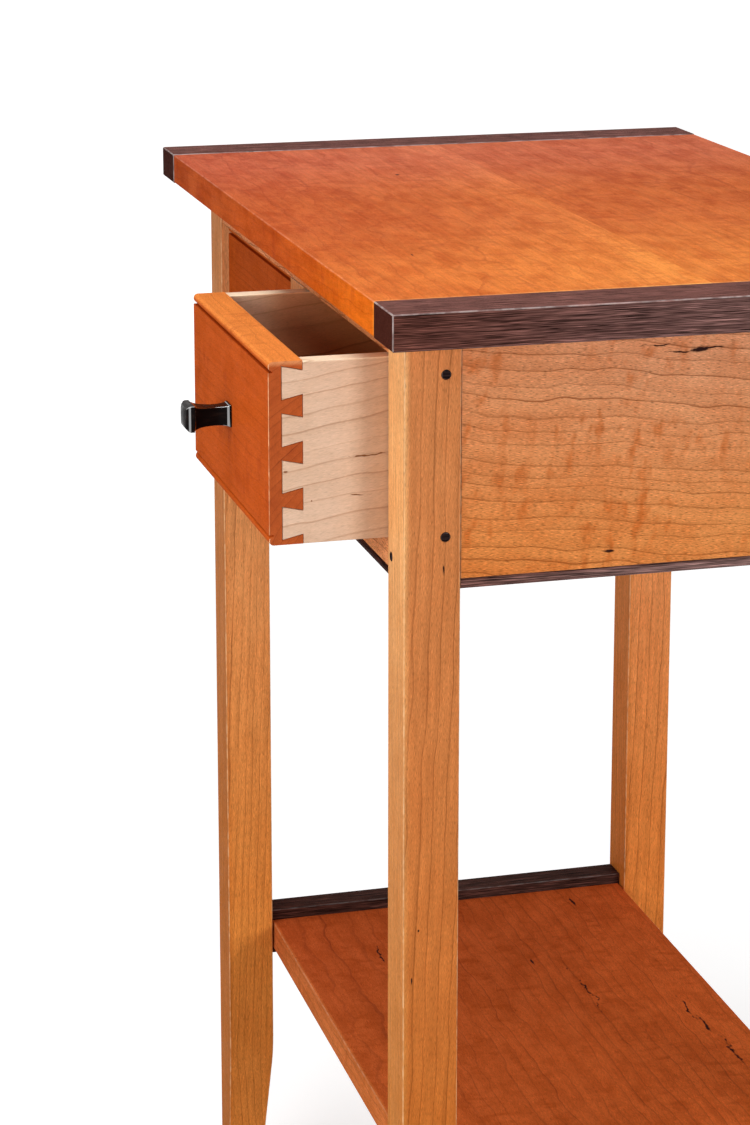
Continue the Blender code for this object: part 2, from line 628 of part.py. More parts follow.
def wedge_tool(name, x_low, x_high, lap_y, lap_z, shoulder_y, shoulder_z, parent):
    """A hidden dovetail wedge between two planes; each z pair is its bottom and top there."""
    centre, size = corners((x_low, lap_y, lap_z[0]), (x_high, shoulder_y, lap_z[1]))
    bm = box_mesh(size)
    for vert in bm.verts:
        low, high = lap_z if (vert.co.y < 0.0) == (lap_y < shoulder_y) else shoulder_z
        vert.co.z = (high if vert.co.z > 0.0 else low) - centre.z
    return add_tool(name, bm, centre, parent)


def tail_edges():
    """Bottom and top of each dovetail at the lap line."""
    width = (DRAWER_HEIGHT - 2 * HALF_PIN_WIDTH - (TAIL_COUNT - 1) * PIN_WIDTH) / TAIL_COUNT
    lows = [HALF_PIN_WIDTH + i * (width + PIN_WIDTH) for i in range(TAIL_COUNT)]
    return [(low, low + width) for low in lows]


def dovetail(front, side, name, x_low, x_high, parent):
    """Half-blind dovetails: pins cut from the side, sockets cut into the front."""
    run = FRONT_THICKNESS - FRONT_LAP
    draw = TAIL_SLOPE * run
    over = SIDE_THICKNESS
    slant = TAIL_SLOPE * FIT_GAP
    tails = tail_edges()
    for number, (low, high) in enumerate(tails, 1):
        lap = (low - FIT_GAP - slant, high + FIT_GAP + slant)
        shoulder = (low + draw - FIT_GAP - slant, high - draw + FIT_GAP + slant)
        socket = wedge_tool(f"{name}_socket_{number}", x_low, x_high, FRONT_LAP - FIT_GAP, lap,
                            FRONT_THICKNESS + FIT_GAP, shoulder, parent)
        combine(front, socket, "DIFFERENCE")
    lows = [-over] + [high for _, high in tails]
    highs = [low for low, _ in tails] + [DRAWER_HEIGHT + over]
    for number, (low, high) in enumerate(zip(lows, highs)):
        spread_low = draw if number > 0 else 0.0
        spread_high = draw if number < TAIL_COUNT else 0.0
        reach = (run + 2 * FIT_GAP) / run
        waste = wedge_tool(f"{name}_pin_{number}", x_low - over * (x_low < 0.0),
                           x_high + over * (x_high > 0.0), FRONT_LAP - FIT_GAP, (low, high),
                           FRONT_THICKNESS + FIT_GAP,
                           (low - spread_low * reach, high + spread_high * reach), parent)
        combine(side, waste, "DIFFERENCE")


def pull_half_widths(distance):
    """Half width and half height of a pull at a distance from its seat: coved on all four sides."""
    head_start = PULL_LENGTH - PULL_DOME - PULL_HEAD_EDGE
    if distance <= PULL_BASE_THICKNESS:
        return PULL_BASE_HALF, PULL_BASE_HALF
    if distance >= head_start:
        return PULL_HEAD_HALF_X, PULL_HEAD_HALF_Z
    if distance < PULL_NECK_POSITION:
        swell = (PULL_NECK_POSITION - distance) / (PULL_NECK_POSITION - PULL_BASE_THICKNESS)
        end_x, end_z = PULL_BASE_HALF, PULL_BASE_HALF
    else:
        swell = (distance - PULL_NECK_POSITION) / (head_start - PULL_NECK_POSITION)
        end_x, end_z = PULL_HEAD_HALF_X, PULL_HEAD_HALF_Z
    share = 1.0 - math.sqrt(1.0 - swell * swell)
    return (PULL_NECK_HALF_X + (end_x - PULL_NECK_HALF_X) * share,
            PULL_NECK_HALF_Z + (end_z - PULL_NECK_HALF_Z) * share)


def pull_stations():
    """Distances from the seat at which a pull's section changes."""
    head_start = PULL_LENGTH - PULL_DOME - PULL_HEAD_EDGE
    quarter = [QUARTER_TURN * i / PULL_COVE_STEPS for i in range(1, PULL_COVE_STEPS)]
    near = [PULL_NECK_POSITION - (PULL_NECK_POSITION - PULL_BASE_THICKNESS) * math.cos(a) for a in quarter]
    far = [PULL_NECK_POSITION + (head_start - PULL_NECK_POSITION) * math.sin(a) for a in quarter]
    return [PULL_BASE_THICKNESS] + near + [PULL_NECK_POSITION] + far + [head_start]


def add_pull(name, front, parent):
    """A dark square pull, coved to a neck, with a domed end and a dowel into the drawer front."""
    body_length = PULL_LENGTH - PULL_DOME - FIT_GAP
    bm = box_mesh(Vector((2.0, body_length, 2.0)))
    bmesh.ops.translate(bm, vec=(0.0, -FIT_GAP - body_length / 2, 0.0), verts=bm.verts)
    for distance in pull_stations():
        everything = bm.verts[:] + bm.edges[:] + bm.faces[:]
        bmesh.ops.bisect_plane(bm, geom=everything, plane_co=(0.0, -distance, 0.0), plane_no=(0.0, 1.0, 0.0))
    for vert in bm.verts:
        half_x, half_z = pull_half_widths(-vert.co.y)
        vert.co.x = math.copysign(half_x, vert.co.x)
        vert.co.z = math.copysign(half_z, vert.co.z)
    cap = min(bm.faces, key=lambda face: face.calc_center_median().y)
    for step in range(1, PULL_DOME_STEPS + 1):
        angle = QUARTER_TURN * step / (PULL_DOME_STEPS + 1)
        bmesh.ops.inset_region(bm, faces=[cap], thickness=FINE_EDGE, use_even_offset=True)
        for vert in cap.verts:
            vert.co.x = math.copysign(PULL_HEAD_HALF_X * math.cos(angle), vert.co.x)
            vert.co.z = math.copysign(PULL_HEAD_HALF_Z * math.cos(angle), vert.co.z)
            vert.co.y = -(PULL_LENGTH - PULL_DOME) - PULL_DOME * math.sin(angle) / math.sin(
                QUARTER_TURN * PULL_DOME_STEPS / (PULL_DOME_STEPS + 1))
    pull = add_part(name, bm, (0.0, 0.0, DRAWER_HEIGHT / 2), EBONY, parent, SMOOTH_ANGLE)
    for role, radius, start, length in (("dowel", PULL_DOWEL_RADIUS, -PULL_BASE_THICKNESS, PULL_DOWEL_LENGTH),
                                        ("hole", PULL_DOWEL_RADIUS + FIT_GAP, -PULL_BASE_THICKNESS,
                                         PULL_DOWEL_LENGTH + FIT_GAP)):
        rod = bmesh.new()
        bmesh.ops.create_cone(rod, cap_ends=True, segments=PEG_SIDES, radius1=radius, radius2=radius,
                              depth=length - start)
        turn = Vector((0.0, 0.0, 1.0)).rotation_difference(Vector((0.0, 1.0, 0.0))).to_matrix()
        bmesh.ops.rotate(rod, matrix=turn, verts=rod.verts)
        tool = add_tool(f"{name}_{role}", rod, (0.0, (start + length) / 2, DRAWER_HEIGHT / 2), parent)
        combine(pull if role == "dowel" else front, tool, "UNION" if role == "dowel" else "DIFFERENCE")


def add_drawer(end, sign, opened):
    """One drawer on its own carrier, which slides along Y."""
    place = (sign * DRAWER_MIDDLE_X, DRAWER_SHUT_Y - opened, DRAWER_BOTTOM)
    carrier = add_empty(f"drawer_{end}_slide", place, FRAME)
    half = FRONT_WIDTH / 2
    inner = half - SIDE_THICKNESS
    front = prism(f"drawer_{end}_front", front_outline(), FRONT_WIDTH, (0.0, 0.0, 0.0), ALONG_X,
                  CHERRY_DRAWER, carrier)
    back_rear = DRAWER_LENGTH - BACK_SETBACK
    back_front = back_rear - BACK_THICKNESS
    panel_top = BOTTOM_GROOVE_HEIGHT + BOTTOM_THICKNESS
    groove_half = inner + BOTTOM_GROOVE_DEPTH
    groove_front = FRONT_THICKNESS - BOTTOM_GROOVE_DEPTH
    groove_rear = DRAWER_LENGTH + BACK_THICKNESS
    panel_half = groove_half - FIT_GAP
    box_part(f"drawer_{end}_bottom", (-panel_half, groove_front + FIT_GAP, BOTTOM_GROOVE_HEIGHT),
             (panel_half, back_rear, panel_top), MAPLE_BOTTOM, carrier, 0.0)
    back_bottom = panel_top + FIT_GAP
    back_top = DRAWER_HEIGHT - BACK_DROP
    back_half = inner + BACK_DADO - FIT_GAP
    box_part(f"drawer_{end}_back", (-back_half, back_front, back_bottom), (back_half, back_rear, back_top),
             MAPLE, carrier, FINE_EDGE)
    groove = box_tool(f"drawer_{end}_groove", (-groove_half, groove_front, BOTTOM_GROOVE_HEIGHT - FIT_GAP),
                      (groove_half, groove_rear, panel_top + FIT_GAP), carrier)
    dado = box_tool(f"drawer_{end}_dado", (-inner - BACK_DADO, back_front - FIT_GAP, panel_top - BACK_DADO),
                    (inner + BACK_DADO, back_rear + FIT_GAP, DRAWER_HEIGHT + BACK_DROP), carrier)
    combine(front, groove, "DIFFERENCE")
    for hand, toward in ENDS:
        side = box_part(f"drawer_{end}_side_{hand}", (toward * inner, FRONT_LAP, 0.0),
                        (toward * half, DRAWER_LENGTH, DRAWER_HEIGHT - SIDE_DROP), MAPLE, carrier, FINE_EDGE)
        x_low, x_high = sorted((toward * (inner - FIT_GAP), toward * (half + SIDE_THICKNESS)))
        dovetail(front, side, f"drawer_{end}_{hand}", x_low, x_high, carrier)
        combine(side, groove, "DIFFERENCE")
        combine(side, dado, "DIFFERENCE")
    add_pull(f"drawer_{end}_pull", front, carrier)


clear_scene()
TABLE = add_collection("hall_table")
TOOLS = add_collection("hall_table_cutters")
CHERRY_TOP = add_material("cherry_top", (0.66, 0.20, 0.05), 0.35)
CHERRY_LEG = add_material("cherry_leg", (0.62, 0.28, 0.09), 0.42)
CHERRY_PANEL = add_material("cherry_panel", (0.60, 0.28, 0.11), 0.42)
CHERRY_DRAWER = add_material("cherry_drawer", (0.47, 0.10, 0.02), 0.38)
CHERRY_SHELF = add_material("cherry_shelf", (0.36, 0.085, 0.02), 0.38)
MAPLE = add_material("maple", (0.80, 0.60, 0.40), 0.45)
MAPLE_BOTTOM = add_material("maple_bottom", (0.74, 0.54, 0.35), 0.5)
POPLAR = add_material("poplar", (0.62, 0.52, 0.33), 0.6)
WENGE = add_material("wenge", (0.055, 0.026, 0.024), 0.38)
EBONY = add_material("ebony", (0.012, 0.009, 0.008), 0.15)
STEEL = add_material("steel", (0.55, 0.55, 0.55), 0.35, 1.0)
FRAME = add_empty("table_frame", (0.0, FRAME_SHIFT_Y, 0.0))
LEGS = add_legs()
add_end_aprons(LEGS)
APRON_BACK = add_back_apron(LEGS)
RAILS = add_front_rails(LEGS)
add_divider(RAILS)
add_beads()
KICKERS = add_runners(RAILS, APRON_BACK)
add_stops()
add_top(KICKERS)
add_shelf(LEGS)
add_drawer("left", -1, 0.0)
add_drawer("right", 1, DRAWER_OPEN)
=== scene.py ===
"""Looks of the hall table: cherry with dark wenge trim, maple drawer sides and black pulls.

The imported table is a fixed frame. Each piece that shows is stood for by a copy with soft edges, and every
piece is finished in a wood, or in steel, made of nodes. Metres, as in the frame.
"""

import json
import math

import bmesh
import bpy
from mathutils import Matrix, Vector

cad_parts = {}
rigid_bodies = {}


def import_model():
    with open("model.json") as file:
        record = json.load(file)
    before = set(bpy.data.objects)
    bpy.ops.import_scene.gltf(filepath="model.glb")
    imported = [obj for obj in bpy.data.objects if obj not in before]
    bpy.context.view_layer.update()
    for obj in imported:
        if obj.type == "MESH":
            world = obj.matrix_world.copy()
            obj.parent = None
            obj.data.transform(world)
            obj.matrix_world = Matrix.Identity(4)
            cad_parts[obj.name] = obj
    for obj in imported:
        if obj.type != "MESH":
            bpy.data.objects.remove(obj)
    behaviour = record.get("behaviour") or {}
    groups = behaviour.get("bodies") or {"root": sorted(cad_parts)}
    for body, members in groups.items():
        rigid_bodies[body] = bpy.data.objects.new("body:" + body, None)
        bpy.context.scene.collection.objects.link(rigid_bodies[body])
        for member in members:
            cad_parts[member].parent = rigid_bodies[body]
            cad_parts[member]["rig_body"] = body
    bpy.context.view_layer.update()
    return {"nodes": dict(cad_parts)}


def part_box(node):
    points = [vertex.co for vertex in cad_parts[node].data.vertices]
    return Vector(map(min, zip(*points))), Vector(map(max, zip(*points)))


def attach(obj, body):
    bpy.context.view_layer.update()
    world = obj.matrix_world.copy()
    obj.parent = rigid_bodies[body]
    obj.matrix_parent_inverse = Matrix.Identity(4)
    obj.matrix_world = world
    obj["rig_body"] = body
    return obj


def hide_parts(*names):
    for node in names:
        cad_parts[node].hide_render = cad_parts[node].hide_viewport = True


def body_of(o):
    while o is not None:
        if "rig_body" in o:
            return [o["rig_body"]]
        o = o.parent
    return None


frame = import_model()

# The photograph's height in pixels, and the camera that took it
PHOTO_HEIGHT = 1125
LENS_AXIS_ROW = 370.0
FOCAL_PIXELS = 2982.0
SENSOR_MM = 36.0
CAMERA_PLACE = Vector((2.0541, -0.6543, 1.2781))
CAMERA_HEADING = math.radians(164.843)
CAMERA_DIP = math.radians(12.733)

# Soft edges
MERGE_DISTANCE = 0.000002
FLAT_ANGLE = math.radians(0.5)
SHARP_ANGLE = math.radians(50.0)
EASED_WIDTH = 0.0016
EASED_LEAN = 0.08
FINE_ARRIS = 0.0004
PULL_SEGMENTS = 3
PULL_SLANT = 0.95
FRONT_SEGMENTS = 1
UNDERSIDE_TILT = -0.3
UNDERSIDE_EDGE_LIGHT = 0.25
FACE_WEIGHT = 100

# Oil finish, and how unevenly its edges are rubbed
GRAIN_DEPTH = 0.0003
POLISH_ROUGHNESS = 0.28
RUB_SIZE = (0.007, 0.007, 0.007)
RUB_SPAN = (0.35, 0.65)
RUB_LEAST = 0.3

# Floor and light. Each softbox has its place, what it faces, its width and its watts.
FLOOR_RADIUS = 40.0
FLOOR_SIDES = 64
FLOOR_GREY = (0.80, 0.80, 0.80, 1.0)
FLOOR_ROUGHNESS = 0.9
FLOOR_GLOW_RANGE = (0.7, 4.0)
FLOOR_GLOW = (0.5, 0.85)
WHITE = (1.0, 1.0, 1.0, 1.0)
SKY_LEVEL = 0.26
SOFTBOXES = {
    "left_softbox": ((0.60, -0.98, 0.95), (0.15, -0.15, 0.75), 0.6, 6.8),
    "right_softbox": ((5.2, 2.4, 1.5), (0.2, 0.0, 0.6), 1.4, 125.0),
    "top_softbox": ((0.25, -0.45, 2.7), (0.1, 0.0, 0.9), 1.4, 32.0),
    "rear_softbox": ((-4.2, 4.4, 1.0), (0.0, 0.0, 0.6), 1.6, 100.0)}

# Detail of the noises
COARSE_DETAIL = 1.0
USUAL_DETAIL = 2.0
FINE_DETAIL = 3.0
NOISE_MIDDLE = (0.5, 0.5, 0.5)

# Growth rings of a board. Sizes are along and across the grain; a span is the part of a noise that is used.
SWAY_SIZE = (0.065, 0.05, 0.05)
SWAY_SPAN = (0.2, 0.8)
SEASON_RATE = 0.6
SEASON_SHARE = 0.75
VIGOUR_LEAST = 0.5
LATE_EDGE = (0.86, 0.95)
LATE_CLOSE = (0.97, 1.0)
SHADE_POWER = 3.0
SHADE_SHARE = 0.32
FADE_SIZE = (0.09, 0.012, 0.012)
FADE_SPAN = (0.3, 0.6)
FADE_LEAST = 0.6

# Clouds, curl, pores and streaks between the rings
CLOUD_DETAIL = 8.0
CLOUD_ROUGHNESS = 0.66
CLOUD_SPAN = (0.36, 0.66)
PATCH_SIZE = (0.06, 0.04, 0.04)
PATCH_SPAN = (0.36, 0.58)
CURL_SIZE = (0.009, 0.018, 0.018)
CURL_SPAN = (0.46, 0.72)
PORE_SPAN = (0.50, 0.74)
GLINT_OFFSET = (0.31, 0.17, 0.23)
GLINT_SPAN = (0.52, 0.76)
GLINT_SHARE = 0.9
STREAK_SPAN = (0.25, 0.75)
LATE_RELIEF = 0.5
MOTTLE_SHARE = 0.5

# Places in the frame that the wood's figure is tied to
TOP_LOW, TOP_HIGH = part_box("top_panel")
APRON_LOW, APRON_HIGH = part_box("apron_right")
LEG_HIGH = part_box("leg_front_right")[1]
SHELF_LOW, SHELF_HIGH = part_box("shelf")
SIDE_LOW, SIDE_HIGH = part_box("drawer_right_side_right")
FRONT_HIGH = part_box("drawer_right_front")[1]
END_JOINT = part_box("breadboard_right")[0].x

# The top is glued up of two boards, and the rear one is a little darker
GLUE_LINE = 0.0405
REAR_BOARD_TONE = (0.87, 0.77, 0.76)

# Axes of a piece that its grain can run along
ALONG_X, ALONG_Y, ALONG_Z = range(3)

# Grain directions, as turns that lay the grain along X; some boards lean a little
GRAIN_X = (0.0, 0.0, 0.0)
GRAIN_Y = (0.0, 0.0, -math.pi / 2)
TOP_GRAIN = (0.0, math.radians(1.5), 0.0)
LEG_LEAN = math.radians(2.0)
LEG_GRAIN = (LEG_LEAN, math.pi / 2, 0.0)
APRON_GRAIN = (math.radians(6.0), 0.0, -math.pi / 2)
MAPLE_GRAIN = (math.radians(-8.0), 0.0, -math.pi / 2)

# Where the heart of each log lies, after that turn
TOP_HEARTS = ((0.0, -0.085, 0.80), (0.0, 0.170, 1.05))
APRON_HEART = (0.0, -APRON_HIGH.x, 1.02)
FAR_APRON_HEART = (0.0, APRON_HIGH.x, 1.04)
BACK_HEART = (0.0, 0.225, 1.06)
RAIL_HEART = (0.0, -0.140, 0.95)
SHELF_HEART = (0.0, -0.15, 0.10)
DRAWER_HEART = (0.0, -0.12, 0.68)
MAPLE_HEART = (0.0, -0.2, 0.70)
WENGE_HEART = (0.0, -0.10, 1.15)
WENGE_LONG_HEART = (0.0, 0.10, 1.0)

# A tint that changes nothing
PLAIN = (1.0, 1.0, 1.0)

# From the middle of each leg to the heart of its log, along X and Y, a tint for the whole leg, partly its own
# tone and partly painted light, and the painted light and shade on its front face, low down and at the top
LEG_LOGS = {
    "leg_front_right": (-0.101, -0.064, (0.94, 0.94, 0.94), (1.10, 1.36, 1.55), (1.30, 1.85, 2.20)),
    "leg_front_left": (-0.088, -0.078, (1.08, 1.32, 1.60), (0.90, 0.80, 0.70), (0.90, 0.80, 0.70)),
    "leg_back_left": (-0.108, 0.054, (1.30, 1.50, 1.95), (0.90, 0.84, 0.72), (0.90, 0.84, 0.72)),
    "leg_back_right": (0.094, 0.072, (1.05, 1.08, 1.10), PLAIN, PLAIN)}
FRONT_LIGHT_DEPTH = 0.005
FRONT_LIGHT_RISE = (0.55, 0.84)

# Woods: colours, and the strength and size of what each one shows. Each change in a wood's list of tints is
# an axis, a stretch along it, and the tints at its two ends; either tint can be a change itself, along
# another axis. Many of these tints are painted light, shade and sheen, and the Edge colour is partly wear and
# partly a painted highlight.
CHERRY = {
    "Pale": (0.73, 0.286, 0.108), "Line": (0.26, 0.062, 0.016), "Cloud": (0.56, 0.146, 0.036),
    "Edge": (0.95, 0.62, 0.34), "Mark": (0.030, 0.012, 0.010), "Ring Width": 0.0098, "Line Strength": 1.0,
    "Wander": 0.0034, "Cloud Strength": 0.4, "Cloud Size": (0.040, 0.020, 0.020), "Curl Strength": 0.9,
    "Streak Strength": 0.06, "Streak Size": (0.07, 0.0028, 0.0028),
    "Pore Strength": 0.58, "Pore Size": (0.0036, 0.0004, 0.0004),
    "End Tint": (0.82, 0.88, 1.25), "Roughness": (0.44, 0.6), "Relief": 0.25, "Specular": 0.006,
    "Edge Polish": 0.3, "Edge Share": 0.4, "Tints And Painted Light": ()}
CHERRY_APRON_WOOD = CHERRY | {
    "Line Strength": 0.85,
    # Greyer towards the top and paler towards the back.
    "Tints And Painted Light": (("Z", APRON_LOW.z, APRON_HIGH.z, (1.02, 0.90, 0.62), (0.98, 1.10, 1.40)),
               ("Y", -0.12, 0.06, (0.98, 0.96, 0.92), (1.05, 1.12, 1.22)))}
CHERRY_LEG_WOOD = CHERRY | {
    "Pale": (0.67, 0.232, 0.066), "Line": (0.23, 0.060, 0.016), "Cloud": (0.58, 0.170, 0.042),
    "Ring Width": 0.0038, "Line Strength": 0.75, "Wander": 0.0008, "Curl Strength": 0.15,
    "Streak Strength": 0.10, "Pore Strength": 0.34, "Edge Share": 0.5,
    # More orange and darker low down, paler at the top.
    "Tints And Painted Light": (("Z", 0.2, LEG_HIGH.z, (0.92, 0.74, 0.40), (1.0, 1.06, 1.25)),)}
CHERRY_TOP_WOOD = CHERRY | {
    "Pale": (0.70, 0.172, 0.030), "Line": (0.40, 0.066, 0.012), "Cloud": (0.48, 0.086, 0.016),
    "Ring Width": 0.007, "Line Strength": 0.45, "Wander": 0.003, "Cloud Strength": 0.65,
    "Cloud Size": (0.040, 0.021, 0.021), "Curl Strength": 0.6, "Streak Strength": 0.09, "Pore Strength": 0.2,
    "Specular": 0.003, "Edge Polish": 0.1, "Edge Share": 0.1,
    # Tints of the top: painted sheen makes the far end bluer and the top face paler than its edges; painted
    # light makes the near end paler; a painted highlight runs beside the end joint; the front is darker and
    # redder, and the back paler.
    "Tints And Painted Light": (("X", -0.28, -0.02, (1.05, 1.10, 2.1), PLAIN),
               ("X", 0.0, 0.28, (0.925, 0.955, 1.28), (1.17, 1.52, 1.70)),
               ("X", END_JOINT - 0.0045, END_JOINT - 0.002, PLAIN, (1.22, 1.7, 2.6)),
               ("Y", TOP_LOW.y, GLUE_LINE - 0.03, (0.86, 0.70, 0.67), PLAIN),
               ("Y", GLUE_LINE - 0.07, GLUE_LINE, (0.99, 0.97, 0.97), (1.08, 1.14, 1.12)),
               ("Z", TOP_HIGH.z - 0.0012, TOP_HIGH.z - 0.0002, (0.96, 0.77, 0.24), PLAIN))}
CHERRY_DRAWER_WOOD = CHERRY | {
    "Pale": (0.485, 0.082, 0.0108), "Line": (0.17, 0.022, 0.005), "Cloud": (0.385, 0.058, 0.008),
    "Ring Width": 0.005, "Wander": 0.0016, "Line Strength": 0.36, "Curl Strength": 0.75,
    "Pore Strength": 0.25, "End Tint": (0.86, 1.05, 1.95), "Specular": 0.001, "Edge Share": 0.6,
    # Painted highlight: the top edge of each drawer front much paler.
    "Tints And Painted Light": (("Z", FRONT_HIGH.z - 0.004, FRONT_HIGH.z - 0.0005, PLAIN, (1.58, 2.9, 4.5)),)}
CHERRY_SHELF_WOOD = CHERRY | {
    "Pale": (0.68, 0.128, 0.024), "Line": (0.20, 0.031, 0.009), "Cloud": (0.51, 0.084, 0.013),
    "Ring Width": 0.009, "Wander": 0.003, "Line Strength": 0.5, "Cloud Strength": 0.7, "Pore Strength": 0.3,
    "Specular": 0.002, "Edge Share": 0.15,
    # Painted light: paler towards the near end. Paler towards the back. A painted highlight along the front
    # edge.
    "Tints And Painted Light": (("X", SHELF_LOW.x, SHELF_HIGH.x, (0.90, 0.90, 1.1), (1.12, 1.24, 1.4)),
               ("Y", SHELF_LOW.y, SHELF_HIGH.y, (0.84, 0.84, 0.88), (1.22, 1.26, 1.26)),
               ("Y", SHELF_LOW.y + 0.0005, SHELF_LOW.y + 0.003, (1.25, 1.75, 2.0), PLAIN))}
MAPLE_WOOD = CHERRY | {
    "Pale": (0.68, 0.470, 0.330), "Line": (0.34, 0.160, 0.075), "Cloud": (0.56, 0.35, 0.22),
    "Edge": (0.95, 0.80, 0.60), "Mark": (0.20, 0.075, 0.030), "End Tint": (0.84, 0.78, 0.72),
    "Ring Width": 0.011, "Line Strength": 0.58, "Wander": 0.002, "Curl Strength": 0.15,
    "Streak Strength": 0.03, "Pore Strength": 0.16, "Edge Share": 0.2,
    # Painted shade with a warm bounce: browner towards the back; painted light: the top edges paler.
    "Tints And Painted Light": (("Y", SIDE_LOW.y + 0.03, SIDE_LOW.y + 0.11, (0.98, 0.98, 1.0), (0.97, 0.74, 0.50)),
               ("Z", SIDE_HIGH.z - 0.0015, SIDE_HIGH.z - 0.0003, PLAIN, (1.35, 1.55, 1.58)))}

# The drawers' inner faces carry painted light just behind the front and painted shade with a warm bounce
# deeper in: how thin that painted skin is, where it deepens behind the front, and from what tint to what
INSIDE_SHADE_SKIN = 0.0012
INSIDE_SHADE_RUN = (0.020, 0.060)
INSIDE_LIGHT_AND_SHADE = ((1.30, 1.28, 1.20), (1.08, 0.72, 0.52))

POPLAR_WOOD = CHERRY | {
    "Pale": (0.62, 0.50, 0.30), "Line": (0.38, 0.32, 0.16), "Cloud": (0.50, 0.42, 0.24),
    "Roughness": (0.6, 0.75), "Edge Share": 0.0}

# Painted sheen: the dark wood pales from front to back; painted light makes the top face of the end boards
# paler
WENGE_PAINTED_SHEEN = ("Y", -0.20, 0.04, (0.82, 0.68, 0.62), (1.26, 1.48, 1.60))
WENGE_WOOD = CHERRY | {
    "Pale": (0.114, 0.048, 0.039), "Line": (0.34, 0.175, 0.145), "Cloud": (0.056, 0.021, 0.017),
    "Edge": (0.86, 0.72, 0.68), "Mark": (0.02, 0.01, 0.01), "End Tint": (0.52, 0.38, 0.33),
    "Ring Width": 0.0010, "Line Strength": 0.25, "Wander": 0.0005, "Cloud Strength": 0.35,
    "Cloud Size": (0.12, 0.004, 0.004), "Curl Strength": 0.0,
    "Streak Strength": 0.9, "Streak Size": (0.045, 0.0005, 0.0005), "Pore Strength": -1.5,
    "Pore Size": (0.018, 0.0004, 0.0004), "Roughness": (0.36, 0.52), "Relief": 0.6, "Specular": 0.0005,
    "Edge Polish": 0.6, "Edge Share": 0.34,
    "Tints And Painted Light": (("Z", TOP_HIGH.z - 0.001, TOP_HIGH.z, WENGE_PAINTED_SHEEN, (1.36, 1.34, 1.36)),)}
WENGE_DARK_WOOD = WENGE_WOOD | {
    "Pale": (0.050, 0.018, 0.013), "Line": (0.14, 0.058, 0.044), "Cloud": (0.028, 0.010, 0.007),
    "Specular": 0.003, "Edge Share": 0.05}
WENGE_BEAD_WOOD = WENGE_DARK_WOOD | {
    "Pale": (0.150, 0.072, 0.060), "Line": (0.26, 0.140, 0.120), "Cloud": (0.080, 0.034, 0.028),
    "Specular": 0.03, "Roughness": (0.26, 0.38)}
PEG_WOOD = WENGE_WOOD | {
    "Pale": (0.026, 0.016, 0.016), "Line": (0.05, 0.03, 0.03), "Cloud": (0.018, 0.011, 0.011),
    "End Tint": (0.85, 0.85, 0.85), "Edge Share": 0.04}

# Black wood of the pulls, and the screws' steel
EBONY = {
    "Black": (0.004, 0.003, 0.003, 1.0), "Streak": (0.016, 0.009, 0.007, 1.0),
    "Streak Size": (0.004, 0.03, 0.004), "Streak Span": (0.45, 0.75), "Relief": 0.05, "Depth": 0.0002,
    "Haze Size": (0.006, 0.006, 0.006), "Haze Span": (0.3, 0.7), "Roughness": (0.16, 0.30),
    "Specular": 0.03, "Coat Roughness": 0.08, "Coat IOR": 3.2}
STEEL = {
    "Bright": (0.62, 0.60, 0.57, 1.0), "Dull": (0.36, 0.34, 0.32, 1.0), "Dull Size": (0.002, 0.002, 0.0003),
    "Dull Span": (0.2, 0.8), "Roughness": (0.28, 0.5)}

# Marks seen in the wood: centre and reach of each, on the face that shows it; the longer ones wander more
MARK_DRIFT = 0.35
MARK_DRIFT_SIZE = (0.013, 0.013, 0.013)
MARK_RAG = 1.1
MARK_RAG_SIZE = (0.004, 0.004, 0.004)
MARK_EDGE = (0.95, 1.5)
TOP_MARKS = (
    ((-0.166, -0.035, TOP_HIGH.z), (0.0045, 0.0022, 0.001)),
    ((0.167, -0.117, TOP_HIGH.z), (0.006, 0.0007, 0.001)))
APRON_MARKS = (
    ((APRON_HIGH.x, 0.0410, 0.8658), (0.003, 0.0085, 0.0022)),
    ((APRON_HIGH.x, 0.0500, 0.8662), (0.003, 0.0130, 0.0008)),
    ((APRON_HIGH.x, 0.0290, 0.8652), (0.003, 0.0150, 0.0009)),
    ((APRON_HIGH.x, 0.0110, 0.8701), (0.003, 0.0160, 0.0006)),
    ((APRON_HIGH.x, -0.0183, 0.7346), (0.003, 0.006, 0.0013)))
LEG_MARKS = (
    ((LEG_HIGH.x, -0.1309, 0.7311), (0.002, 0.0008, 0.005)),
    ((LEG_HIGH.x, -0.1470, 0.4846), (0.002, 0.0011, 0.0014)),
    ((LEG_HIGH.x, -0.1515, 0.4496), (0.002, 0.0007, 0.003)))
SIDE_MARKS = (
    ((SIDE_HIGH.x, -0.170, 0.8003), (0.003, 0.016, 0.0007)),
    ((SIDE_HIGH.x, -0.178, 0.7741), (0.003, 0.007, 0.0006)),
    ((SIDE_HIGH.x, -0.2255, 0.7925), (0.003, 0.0022, 0.0009)),
    ((SIDE_HIGH.x, -0.2083, 0.7720), (0.003, 0.0008, 0.0008)))
SHELF_MARKS = (
    ((-0.165, -0.048, SHELF_HIGH.z), (0.038, 0.0014, 0.002)),
    ((-0.232, 0.142, SHELF_HIGH.z), (0.012, 0.0017, 0.002)),
    ((-0.123, 0.070, SHELF_HIGH.z), (0.008, 0.0012, 0.002)),
    ((-0.062, 0.095, SHELF_HIGH.z), (0.058, 0.0014, 0.002)),
    ((-0.008, 0.161, SHELF_HIGH.z), (0.030, 0.0013, 0.002)),
    ((0.030, 0.164, SHELF_HIGH.z), (0.032, 0.0016, 0.002)),
    ((0.072, 0.169, SHELF_HIGH.z), (0.034, 0.0018, 0.002)))


def put(tree, kind, sockets=None, **options):
    """Add a node, set its options, and fill or link its inputs."""
    node = tree.nodes.new(kind)
    for option, value in options.items():
        setattr(node, option, value)
    for key, value in (sockets or {}).items():
        if isinstance(value, bpy.types.NodeSocket):
            tree.links.new(value, node.inputs[key])
        else:
            node.inputs[key].default_value = value
    return node


